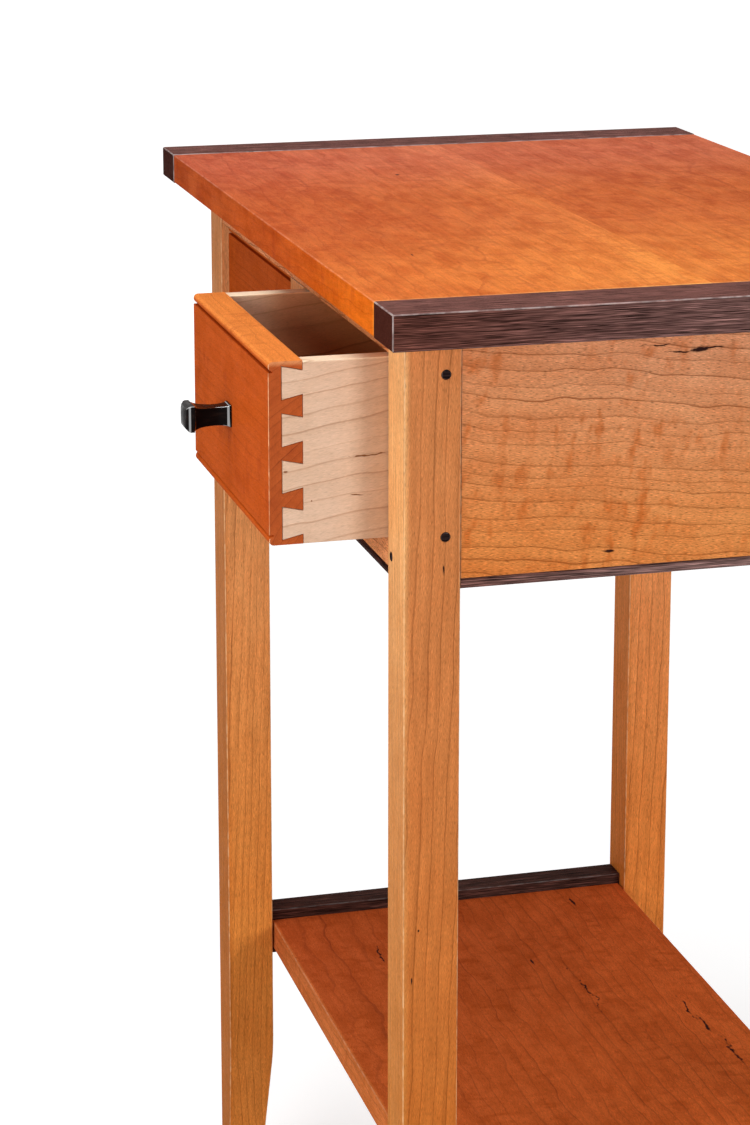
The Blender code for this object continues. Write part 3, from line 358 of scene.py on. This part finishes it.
def reckon(tree, operation, first, second=0.0, third=0.0):
    """One step of arithmetic."""
    return put(tree, "ShaderNodeMath", {0: first, 1: second, 2: third}, operation=operation).outputs[0]


def vector_step(tree, operation, first, second):
    """One step of arithmetic on places or colours."""
    return put(tree, "ShaderNodeVectorMath", {0: first, 1: second}, operation=operation).outputs[0]


def soft_step(tree, value, low, high, start=0.0, end=1.0):
    """Ease from start to end as a value goes from low to high."""
    sockets = {"Value": value, "From Min": low, "From Max": high, "To Min": start, "To Max": end}
    return put(tree, "ShaderNodeMapRange", sockets, interpolation_type="SMOOTHSTEP").outputs["Result"]


def blend(tree, share, first, second):
    """Mix two colours."""
    return put(tree, "ShaderNodeMix", {0: share, 6: first, 7: second}, data_type="RGBA").outputs[2]


def tint(tree, colour, brightness):
    """A colour made lighter or darker."""
    sockets = {0: colour, "Scale": brightness}
    return put(tree, "ShaderNodeVectorMath", sockets, operation="SCALE").outputs[0]


def speckle(tree, place, size, detail=USUAL_DETAIL, roughness=0.5):
    """Soft noise whose features measure size along the three axes."""
    scaled = vector_step(tree, "DIVIDE", place, size)
    sockets = {"Vector": scaled, "Scale": 1.0, "Detail": detail, "Roughness": roughness}
    return put(tree, "ShaderNodeTexNoise", sockets).outputs["Fac"]


def new_group(name, inputs, outputs):
    """An empty node group with named sockets."""
    tree = bpy.data.node_groups.new(name, "ShaderNodeTree")
    for title, kind in inputs:
        tree.interface.new_socket(title, in_out="INPUT", socket_type=kind)
    for title, kind in outputs:
        tree.interface.new_socket(title, in_out="OUTPUT", socket_type=kind)
    given = tree.nodes.new("NodeGroupInput").outputs
    wanted = tree.nodes.new("NodeGroupOutput").inputs
    return tree, given, wanted


def draw_rings(tree, given):
    """How much late wood shows: growth rings round the heart, uneven in width, vigour and length."""
    place = given["Place"]
    apart = put(tree, "ShaderNodeSeparateXYZ", {0: place}).outputs
    across = put(tree, "ShaderNodeCombineXYZ", {"Y": apart["Y"], "Z": apart["Z"]}).outputs[0]
    radius = put(tree, "ShaderNodeVectorMath", {0: across}, operation="LENGTH").outputs["Value"]
    sway = soft_step(tree, speckle(tree, place, SWAY_SIZE), *SWAY_SPAN, -1.0, 1.0)
    growth = reckon(tree, "MULTIPLY_ADD", sway, given["Wander"], radius)
    even = reckon(tree, "DIVIDE", growth, given["Ring Width"])
    sockets = {"W": reckon(tree, "MULTIPLY", even, SEASON_RATE), "Scale": 1.0, "Detail": COARSE_DETAIL}
    season = put(tree, "ShaderNodeTexNoise", sockets, noise_dimensions="1D").outputs["Fac"]
    rings = reckon(tree, "MULTIPLY_ADD", season, SEASON_SHARE, even)
    phase = reckon(tree, "FRACT", rings)
    year = reckon(tree, "FLOOR", rings)
    vigour = put(tree, "ShaderNodeTexWhiteNoise", {"W": year}, noise_dimensions="1D").outputs["Value"]
    vigour = soft_step(tree, vigour, 0.0, 1.0, VIGOUR_LEAST, 1.0)
    edge = soft_step(tree, phase, *LATE_EDGE)
    close = soft_step(tree, phase, *LATE_CLOSE, 1.0, 0.0)
    shade = reckon(tree, "MULTIPLY", reckon(tree, "POWER", phase, SHADE_POWER), SHADE_SHARE)
    late = reckon(tree, "MULTIPLY", reckon(tree, "MAXIMUM", edge, shade), close)
    fade = soft_step(tree, speckle(tree, place, FADE_SIZE), *FADE_SPAN, FADE_LEAST, 1.0)
    return reckon(tree, "MULTIPLY", reckon(tree, "MULTIPLY", late, vigour), fade)


def make_board_figure():
    """Figure of one board: growth rings round a heart that lies along X, clouds, curl and pores."""
    vector, colour, value = "NodeSocketVector", "NodeSocketColor", "NodeSocketFloat"
    tree, given, wanted = new_group(
        "board_figure",
        [("Place", vector), ("Pale", colour), ("Line", colour), ("Cloud", colour), ("Ring Width", value),
         ("Line Strength", value), ("Wander", value), ("Cloud Strength", value), ("Cloud Size", vector),
         ("Curl Strength", value), ("Streak Strength", value), ("Streak Size", vector),
         ("Pore Strength", value), ("Pore Size", vector), ("End Tint", colour), ("End Grain", value)],
        [("Color", colour), ("Height", value), ("Mottle", value)])
    place = given["Place"]

    late = draw_rings(tree, given)
    end_share = reckon(tree, "ADD", given["End Grain"], 1.0)
    strength = reckon(tree, "MULTIPLY", given["Line Strength"], end_share)
    line = reckon(tree, "MULTIPLY", late, reckon(tree, "MINIMUM", strength, 1.0))

    cloud = speckle(tree, place, given["Cloud Size"], CLOUD_DETAIL, CLOUD_ROUGHNESS)
    cloud = soft_step(tree, cloud, *CLOUD_SPAN)
    cloudy = reckon(tree, "MULTIPLY", cloud, given["Cloud Strength"])
    patch = soft_step(tree, speckle(tree, place, PATCH_SIZE), *PATCH_SPAN)
    curl = soft_step(tree, speckle(tree, place, CURL_SIZE), *CURL_SPAN)
    curly = reckon(tree, "MULTIPLY", reckon(tree, "MULTIPLY", curl, patch), given["Curl Strength"])
    pores = soft_step(tree, speckle(tree, place, given["Pore Size"], COARSE_DETAIL), *PORE_SPAN)
    beside = vector_step(tree, "ADD", place, GLINT_OFFSET)
    glints = soft_step(tree, speckle(tree, beside, given["Pore Size"], COARSE_DETAIL), *GLINT_SPAN)
    streak = soft_step(tree, speckle(tree, place, given["Streak Size"]), *STREAK_SPAN, -1.0, 1.0)

    ground = blend(tree, cloudy, given["Pale"], given["Cloud"])
    ground = blend(tree, curly, ground, given["Cloud"])
    ringed = blend(tree, line, ground, given["Line"])
    relief = reckon(tree, "MULTIPLY_ADD", glints, GLINT_SHARE, reckon(tree, "MULTIPLY", pores, -1.0))
    tone = reckon(tree, "MULTIPLY_ADD", relief, given["Pore Strength"], 1.0)
    streaked = reckon(tree, "MULTIPLY_ADD", streak, given["Streak Strength"], 1.0)
    tone = reckon(tree, "MULTIPLY", tone, streaked)
    browned = blend(tree, given["End Grain"], WHITE, given["End Tint"])
    shown = vector_step(tree, "MULTIPLY", tint(tree, ringed, tone), browned)
    cloud_mottle = reckon(tree, "MULTIPLY", cloud, MOTTLE_SHARE)
    tree.links.new(shown, wanted["Color"])
    tree.links.new(reckon(tree, "MULTIPLY_ADD", late, LATE_RELIEF, relief), wanted["Height"])
    tree.links.new(reckon(tree, "MULTIPLY_ADD", pores, MOTTLE_SHARE, cloud_mottle), wanted["Mottle"])
    return tree


def make_pitch_mark():
    """Mask of one pitch pocket, gum streak or pin knot: a ragged lens round a centre."""
    tree, given, wanted = new_group(
        "pitch_mark",
        [("Place", "NodeSocketVector"), ("Centre", "NodeSocketVector"), ("Reach", "NodeSocketVector"),
         ("Drift", "NodeSocketFloat")],
        [("Mask", "NodeSocketFloat")])
    scaled = vector_step(tree, "DIVIDE", given["Place"], MARK_DRIFT_SIZE)
    sockets = {"Vector": scaled, "Scale": 1.0, "Detail": USUAL_DETAIL}
    drift = put(tree, "ShaderNodeTexNoise", sockets).outputs["Color"]
    drift = tint(tree, vector_step(tree, "SUBTRACT", drift, NOISE_MIDDLE), given["Drift"])
    offset = vector_step(tree, "SUBTRACT", vector_step(tree, "ADD", given["Place"], drift), given["Centre"])
    inside = vector_step(tree, "DIVIDE", offset, given["Reach"])
    distance = put(tree, "ShaderNodeVectorMath", {0: inside}, operation="LENGTH").outputs["Value"]
    ragged = speckle(tree, given["Place"], MARK_RAG_SIZE, FINE_DETAIL)
    distance = reckon(tree, "MULTIPLY_ADD", ragged, MARK_RAG, distance)
    tree.links.new(soft_step(tree, distance, *MARK_EDGE, 1.0, 0.0), wanted["Mask"])
    return tree


BOARD_FIGURE = make_board_figure()
PITCH_MARK = make_pitch_mark()


def start_material(name):
    """A new material with its shader and the object's own coordinates."""
    material = bpy.data.materials.new(name)
    material.use_nodes = True
    tree = material.node_tree
    shader = tree.nodes["Principled BSDF"]
    coordinates = put(tree, "ShaderNodeTexCoord").outputs["Object"]
    return material, tree, shader, coordinates


def lay_grain(tree, coordinates, turn, heart):
    """Coordinates turned so that the grain runs along X, with the heart of the tree at zero."""
    mapping = put(tree, "ShaderNodeMapping", {"Vector": coordinates, "Rotation": turn})
    return vector_step(tree, "SUBTRACT", mapping.outputs[0], heart)


def place_board(tree, place, wood):
    """One board's figure with a wood's own values; its end grain takes the wood's end tint."""
    figure = put(tree, "ShaderNodeGroup", node_tree=BOARD_FIGURE)
    end_grain = put(tree, "ShaderNodeAttribute", attribute_name="end_grain").outputs["Fac"]
    tree.links.new(place, figure.inputs["Place"])
    tree.links.new(end_grain, figure.inputs["End Grain"])
    for title in ("Pale", "Line", "Cloud", "End Tint"):
        figure.inputs[title].default_value = (*wood[title], 1.0)
    for title in ("Ring Width", "Line Strength", "Wander", "Cloud Strength", "Cloud Size", "Curl Strength",
                  "Streak Strength", "Streak Size", "Pore Strength", "Pore Size"):
        figure.inputs[title].default_value = wood[title]
    return figure.outputs


def add_marks(tree, coordinates, colour, marks, mark_colour):
    """Dark pitch pockets, streaks and knots at their places on a piece."""
    for centre, reach in marks:
        mark = put(tree, "ShaderNodeGroup", node_tree=PITCH_MARK)
        tree.links.new(coordinates, mark.inputs["Place"])
        mark.inputs["Centre"].default_value = centre
        mark.inputs["Reach"].default_value = reach
        mark.inputs["Drift"].default_value = MARK_DRIFT * max(reach)
        colour = blend(tree, mark.outputs["Mask"], colour, (*mark_colour, 1.0))
    return colour


def tint_along(tree, coordinates, axis, low, high, start, end):
    """A tint that changes along an axis; those at its two ends may themselves change along another."""
    along = put(tree, "ShaderNodeSeparateXYZ", {0: coordinates}).outputs[axis]
    ends = []
    for tone in (start, end):
        changes = isinstance(tone[0], str)
        ends.append(tint_along(tree, coordinates, *tone) if changes else (*tone, 1.0))
    return blend(tree, soft_step(tree, along, low, high), *ends)


def add_tints_and_painted_light(tree, coordinates, colour, wood):
    """Slow changes of tint along a board, where the wood has any; many are painted light, shade and sheen."""
    for change in wood["Tints And Painted Light"]:
        colour = vector_step(tree, "MULTIPLY", colour, tint_along(tree, coordinates, *change))
    return colour


def finish_wood(tree, shader, coordinates, colour, figure, wood):
    """Connect colour, sheen and the feel of the grain; rubbed edges are more polished, and paler, partly from
    wear and partly as a painted highlight.
    """
    eased = put(tree, "ShaderNodeAttribute", attribute_name="eased").outputs["Fac"]
    rubbed = soft_step(tree, speckle(tree, coordinates, RUB_SIZE, FINE_DETAIL), *RUB_SPAN, RUB_LEAST, 1.0)
    rubbed = reckon(tree, "MULTIPLY", eased, rubbed)
    wear_and_highlight = reckon(tree, "MULTIPLY", rubbed, wood["Edge Share"])
    colour = blend(tree, wear_and_highlight, colour, (*wood["Edge"], 1.0))
    polish = reckon(tree, "MULTIPLY", rubbed, wood["Edge Polish"])
    smoothest, roughest = wood["Roughness"]
    roughness = soft_step(tree, figure["Mottle"], 0.0, 1.0, smoothest, roughest)
    feel = {"Height": figure["Height"], "Strength": wood["Relief"], "Distance": GRAIN_DEPTH}
    bump = put(tree, "ShaderNodeBump", feel)
    tree.links.new(colour, shader.inputs["Base Color"])
    tree.links.new(roughness, shader.inputs["Roughness"])
    tree.links.new(polish, shader.inputs["Coat Weight"])
    tree.links.new(bump.outputs["Normal"], shader.inputs["Normal"])
    shader.inputs["Specular IOR Level"].default_value = wood["Specular"]
    shader.inputs["Coat Roughness"].default_value = POLISH_ROUGHNESS


def make_wood(name, wood, turn, heart, marks=()):
    """A finish for boards whose grain runs one way."""
    material, tree, shader, coordinates = start_material(name)
    place = lay_grain(tree, coordinates, turn, heart)
    figure = place_board(tree, place, wood)
    colour = add_tints_and_painted_light(tree, coordinates, figure["Color"], wood)
    colour = add_marks(tree, coordinates, colour, marks, wood["Mark"])
    finish_wood(tree, shader, coordinates, colour, figure, wood)
    return material


def make_leg_wood(leg, marks=()):
    """A leg's own finish: its log stands upright and leans a little, with its heart off to one side."""
    low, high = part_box(leg)
    middle = (low + high) / 2
    across, deep, own, front_light_low, front_light_high = LEG_LOGS[leg]
    heart = (0.0, middle.y - middle.z * math.sin(LEG_LEAN) + deep, -middle.x - across)
    # Painted light on the near leg's front face, paler up high; painted shade darkens the far legs' front
    # faces.
    front_light = ("Z", *FRONT_LIGHT_RISE, front_light_low, front_light_high)
    front_face = ("Y", low.y, low.y + FRONT_LIGHT_DEPTH, front_light, PLAIN)
    # The whole-leg tint is partly the leg's own tone and partly painted light, which makes the far legs paler
    # and bluer.
    whole_leg = ("Z", low.z, high.z, own, own)
    wood = CHERRY_LEG_WOOD | {"Tints And Painted Light": (*CHERRY_LEG_WOOD["Tints And Painted Light"], whole_leg, front_face)}
    return make_wood("cherry_" + leg, wood, LEG_GRAIN, heart, marks)


def make_drawer_side(node):
    """A drawer side's own finish; its face inside the drawer has painted light near the front and painted
    shade, browner, further back.
    """
    low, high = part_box(node)
    inside = ("Y", low.y + INSIDE_SHADE_RUN[0], low.y + INSIDE_SHADE_RUN[1], *INSIDE_LIGHT_AND_SHADE)
    if node.endswith("_left"):
        face = ("X", high.x - INSIDE_SHADE_SKIN, high.x, PLAIN, inside)
    else:
        face = ("X", low.x, low.x + INSIDE_SHADE_SKIN, inside, PLAIN)
    wood = MAPLE_WOOD | {"Tints And Painted Light": (*MAPLE_WOOD["Tints And Painted Light"], face)}
    return make_wood("maple_" + node, wood, MAPLE_GRAIN, MAPLE_HEART, SIDE_MARKS)


def make_cherry_top():
    """The top's two boards, each with its own heart, and their colour tinted along and across, much of it
    painted light and sheen.
    """
    wood = CHERRY_TOP_WOOD
    material, tree, shader, coordinates = start_material("cherry_top")
    deep = put(tree, "ShaderNodeSeparateXYZ", {0: coordinates}).outputs["Y"]
    rear = reckon(tree, "GREATER_THAN", deep, GLUE_LINE)
    places = [lay_grain(tree, coordinates, TOP_GRAIN, heart) for heart in TOP_HEARTS]
    front_board, rear_board = [place_board(tree, place, wood) for place in places]
    figure = {}
    for title in ("Height", "Mottle"):
        sockets = {0: rear, 2: front_board[title], 3: rear_board[title]}
        figure[title] = put(tree, "ShaderNodeMix", sockets, data_type="FLOAT").outputs[0]
    toned = vector_step(tree, "MULTIPLY", rear_board["Color"], REAR_BOARD_TONE)
    colour = blend(tree, rear, front_board["Color"], toned)
    colour = add_tints_and_painted_light(tree, coordinates, colour, wood)
    colour = add_marks(tree, coordinates, colour, TOP_MARKS, wood["Mark"])
    finish_wood(tree, shader, coordinates, colour, figure, wood)
    return material


def make_ebony():
    """The pulls' polished black, with a faint brown streak along the grain and bright edges."""
    material, tree, shader, place = start_material("ebony")
    streak = soft_step(tree, speckle(tree, place, EBONY["Streak Size"], FINE_DETAIL), *EBONY["Streak Span"])
    colour = blend(tree, streak, EBONY["Black"], EBONY["Streak"])
    haze = speckle(tree, place, EBONY["Haze Size"], FINE_DETAIL)
    haze = soft_step(tree, haze, *EBONY["Haze Span"], *EBONY["Roughness"])
    feel = {"Height": streak, "Strength": EBONY["Relief"], "Distance": EBONY["Depth"]}
    bump = put(tree, "ShaderNodeBump", feel)
    eased = put(tree, "ShaderNodeAttribute", attribute_name="eased").outputs["Fac"]
    tree.links.new(colour, shader.inputs["Base Color"])
    tree.links.new(haze, shader.inputs["Roughness"])
    tree.links.new(eased, shader.inputs["Coat Weight"])
    tree.links.new(bump.outputs["Normal"], shader.inputs["Normal"])
    shader.inputs["Specular IOR Level"].default_value = EBONY["Specular"]
    shader.inputs["Coat Roughness"].default_value = EBONY["Coat Roughness"]
    shader.inputs["Coat IOR"].default_value = EBONY["Coat IOR"]
    return material


def make_steel():
    """Plain screws: brushed round the head and a little dull in places."""
    material, tree, shader, place = start_material("steel")
    dull = speckle(tree, place, STEEL["Dull Size"], FINE_DETAIL)
    colour = blend(tree, dull, STEEL["Bright"], STEEL["Dull"])
    roughness = soft_step(tree, dull, *STEEL["Dull Span"], *STEEL["Roughness"])
    tree.links.new(colour, shader.inputs["Base Color"])
    tree.links.new(roughness, shader.inputs["Roughness"])
    shader.inputs["Metallic"].default_value = 1.0
    return material


def ease(bm, edges, segments):
    """Take the sharpness off some edges."""
    bmesh.ops.bevel(bm, geom=edges, offset=FINE_ARRIS, segments=segments, profile=0.5, affect="EDGES",
                    material=-1, clamp_overlap=True)


def soften(node, grain_axis):
    """A merged copy of a CAD piece, shaded round its eased edges, that stands for it."""
    bm = bmesh.new()
    bm.from_mesh(frame["nodes"][node].data)
    bmesh.ops.remove_doubles(bm, verts=bm.verts, dist=MERGE_DISTANCE)
    bmesh.ops.dissolve_limit(bm, angle_limit=FLAT_ANGLE, verts=bm.verts, edges=bm.edges)
    sharp = [edge for edge in bm.edges if edge.is_manifold and edge.calc_face_angle() > SHARP_ANGLE]
    if node.endswith("_pull"):
        long_edges = [edge for edge in sharp if edge.verts[0].co.y != edge.verts[1].co.y]
        ease(bm, long_edges, PULL_SEGMENTS)
    if node.endswith("_front"):
        face_plane = min(vert.co.y for vert in bm.verts)
        ends = [edge for edge in sharp
                if max(abs(vert.co.y - face_plane) for vert in edge.verts) < FINE_ARRIS
                and abs(edge.verts[0].co.x - edge.verts[1].co.x) < FINE_ARRIS]
        ease(bm, ends, FRONT_SEGMENTS)
    eased = bm.faces.layers.float.new("eased")
    end_grain = bm.faces.layers.float.new("end_grain")
    for face in bm.faces:
        width = face.calc_area() / max(edge.calc_length() for edge in face.edges)
        middle, most = sorted(abs(part) for part in face.normal)[1:]
        slanted = most < PULL_SLANT if node.endswith("_pull") else most - middle < EASED_LEAN
        # Painted shade: edges that face down get less of the pale edge colour, and less polish.
        edge_light = UNDERSIDE_EDGE_LIGHT if face.normal.z < UNDERSIDE_TILT else 1.0
        face[eased] = edge_light if slanted and width < EASED_WIDTH else 0.0
        face[end_grain] = abs(face.normal[grain_axis])
    mesh = bpy.data.meshes.new(node + "_soft")
    bm.to_mesh(mesh)
    bm.free()
    if "custom_normal" in mesh.attributes:
        mesh.attributes.remove(mesh.attributes["custom_normal"])
    mesh.shade_smooth()
    mesh.set_sharp_from_angle(angle=SHARP_ANGLE)
    piece = bpy.data.objects.new(node + "_soft", mesh)
    bpy.context.scene.collection.objects.link(piece)
    weighted = piece.modifiers.new("soft_edges", "WEIGHTED_NORMAL")
    weighted.keep_sharp = True
    weighted.weight = FACE_WEIGHT
    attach(piece, body_of(frame["nodes"][node])[0])
    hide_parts(node)
    return piece


def dress(nodes, material, grain_axis=0, show=True):
    """Give pieces their finish; those that show get soft edges as well."""
    for node in nodes:
        piece = soften(node, grain_axis) if show else frame["nodes"][node]
        piece.data.materials.clear()
        piece.data.materials.append(material)


def named(*starts):
    """The CAD nodes whose names start in one of these ways."""
    return [node for node in sorted(frame["nodes"]) if node.startswith(starts)]


def seen_directly(tree):
    """One for rays from the camera, and for those that show the background in gloss or glass."""
    path = put(tree, "ShaderNodeLightPath").outputs
    shown = reckon(tree, "MAXIMUM", path["Is Camera Ray"], path["Is Glossy Ray"])
    return reckon(tree, "MAXIMUM", shown, path["Is Transmission Ray"])


def add_floor():
    """A wide pale floor that the camera sees as white, with the table's shadow kept."""
    bm = bmesh.new()
    bmesh.ops.create_circle(bm, cap_ends=True, segments=FLOOR_SIDES, radius=FLOOR_RADIUS)
    mesh = bpy.data.meshes.new("floor")
    bm.to_mesh(mesh)
    bm.free()
    floor = bpy.data.objects.new("floor", mesh)
    bpy.context.scene.collection.objects.link(floor)
    material = bpy.data.materials.new("floor_paper")
    material.use_nodes = True
    tree = material.node_tree
    shader = tree.nodes["Principled BSDF"]
    shader.inputs["Base Color"].default_value = FLOOR_GREY
    shader.inputs["Roughness"].default_value = FLOOR_ROUGHNESS
    shader.inputs["Specular IOR Level"].default_value = 0.0
    shader.inputs["Emission Color"].default_value = WHITE
    coordinates = put(tree, "ShaderNodeTexCoord").outputs["Object"]
    away = put(tree, "ShaderNodeVectorMath", {0: coordinates}, operation="LENGTH").outputs["Value"]
    glow = soft_step(tree, away, *FLOOR_GLOW_RANGE, *FLOOR_GLOW)
    tree.links.new(reckon(tree, "MULTIPLY", seen_directly(tree), glow), shader.inputs["Emission Strength"])
    mesh.materials.append(material)


def add_sky():
    """Soft light from all round, seen as plain white."""
    world = bpy.data.worlds.new("studio")
    bpy.context.scene.world = world
    world.use_nodes = True
    tree = world.node_tree
    background = tree.nodes["Background"]
    background.inputs["Color"].default_value = WHITE
    strength = soft_step(tree, seen_directly(tree), 0.0, 1.0, SKY_LEVEL, 1.0)
    tree.links.new(strength, background.inputs["Strength"])


def add_softbox(name, place, target, size, power):
    """A square studio lamp that faces a target."""
    lamp = bpy.data.lights.new(name, "AREA")
    lamp.shape = "SQUARE"
    lamp.size = size
    lamp.energy = power
    box = bpy.data.objects.new(name, lamp)
    box.location = place
    box.rotation_euler = (Vector(target) - Vector(place)).to_track_quat("-Z", "Y").to_euler()
    bpy.context.scene.collection.objects.link(box)


def add_camera():
    """The camera, where the photograph was taken from."""
    lens = bpy.data.cameras.new("photo_camera")
    lens.sensor_width = SENSOR_MM
    lens.lens = FOCAL_PIXELS / PHOTO_HEIGHT * SENSOR_MM
    lens.shift_y = LENS_AXIS_ROW / PHOTO_HEIGHT - 0.5
    camera = bpy.data.objects.new("photo_camera", lens)
    camera.location = CAMERA_PLACE
    level = math.cos(CAMERA_DIP)
    ahead = level * math.cos(CAMERA_HEADING)
    aside = level * math.sin(CAMERA_HEADING)
    forward = Vector((ahead, aside, -math.sin(CAMERA_DIP)))
    camera.rotation_euler = forward.to_track_quat("-Z", "Y").to_euler()
    bpy.context.scene.collection.objects.link(camera)
    bpy.context.scene.camera = camera


cherry_top = make_cherry_top()
cherry_apron = make_wood("cherry_apron", CHERRY_APRON_WOOD, APRON_GRAIN, APRON_HEART, APRON_MARKS)
cherry_far_apron = make_wood("cherry_far_apron", CHERRY_APRON_WOOD, APRON_GRAIN, FAR_APRON_HEART)
cherry_back = make_wood("cherry_back", CHERRY_APRON_WOOD, GRAIN_X, BACK_HEART)
cherry_rail = make_wood("cherry_rail", CHERRY, GRAIN_X, RAIL_HEART)
cherry_drawer = make_wood("cherry_drawer", CHERRY_DRAWER_WOOD, GRAIN_X, DRAWER_HEART)
cherry_shelf = make_wood("cherry_shelf", CHERRY_SHELF_WOOD, GRAIN_X, SHELF_HEART, SHELF_MARKS)
maple_back = make_wood("maple_back", MAPLE_WOOD, GRAIN_X, MAPLE_HEART)
poplar = make_wood("poplar", POPLAR_WOOD, GRAIN_Y, MAPLE_HEART)
wenge_end = make_wood("wenge_end", WENGE_WOOD, GRAIN_Y, WENGE_HEART)
wenge_rail = make_wood("wenge_rail", WENGE_DARK_WOOD, GRAIN_Y, WENGE_HEART)
wenge_bead = make_wood("wenge_bead", WENGE_BEAD_WOOD, GRAIN_Y, WENGE_HEART)
wenge_long = make_wood("wenge_long", WENGE_DARK_WOOD, GRAIN_X, WENGE_LONG_HEART)
wenge_peg = make_wood("wenge_peg", PEG_WOOD, GRAIN_Y, WENGE_HEART)
ebony = make_ebony()
steel = make_steel()

dress(["top_panel"], cherry_top, ALONG_X)
dress(named("breadboard"), wenge_end, ALONG_Y)
dress(named("stretcher"), wenge_rail, ALONG_Y)
dress(["bead_left", "bead_right"], wenge_bead, ALONG_Y)
dress(["bead_front", "bead_back"], wenge_long, ALONG_X)
dress(named("peg"), wenge_peg, ALONG_Y)
for leg in LEG_LOGS:
    leg_wood = make_leg_wood(leg, LEG_MARKS if leg == "leg_front_right" else ())
    dress([leg], leg_wood, ALONG_Z)
# The divider is cut from the last leg's log
dress(["drawer_divider"], leg_wood, ALONG_Z)
dress(["apron_right"], cherry_apron, ALONG_Y)
dress(["apron_left"], cherry_far_apron, ALONG_Y)
dress(["apron_back"], cherry_back, ALONG_X)
dress(named("rail_front"), cherry_rail, ALONG_X)
dress(["shelf"], cherry_shelf, ALONG_X)
dress(named("runner", "kicker", "drawer_stop"), poplar, show=False)
dress(named("top_screw"), steel, show=False)
for end in ("left", "right"):
    dress([f"drawer_{end}_front"], cherry_drawer, ALONG_X)
    for side in named(f"drawer_{end}_side"):
        dress([side], make_drawer_side(side), ALONG_Y)
    dress([f"drawer_{end}_back"], maple_back, ALONG_X)
    dress([f"drawer_{end}_bottom"], maple_back, show=False)
    dress([f"drawer_{end}_pull"], ebony, ALONG_X)

add_floor()
add_sky()
for lamp_name, lamp_values in SOFTBOXES.items():
    add_softbox(lamp_name, *lamp_values)
add_camera()
bpy.context.scene.view_settings.view_transform = "Standard"
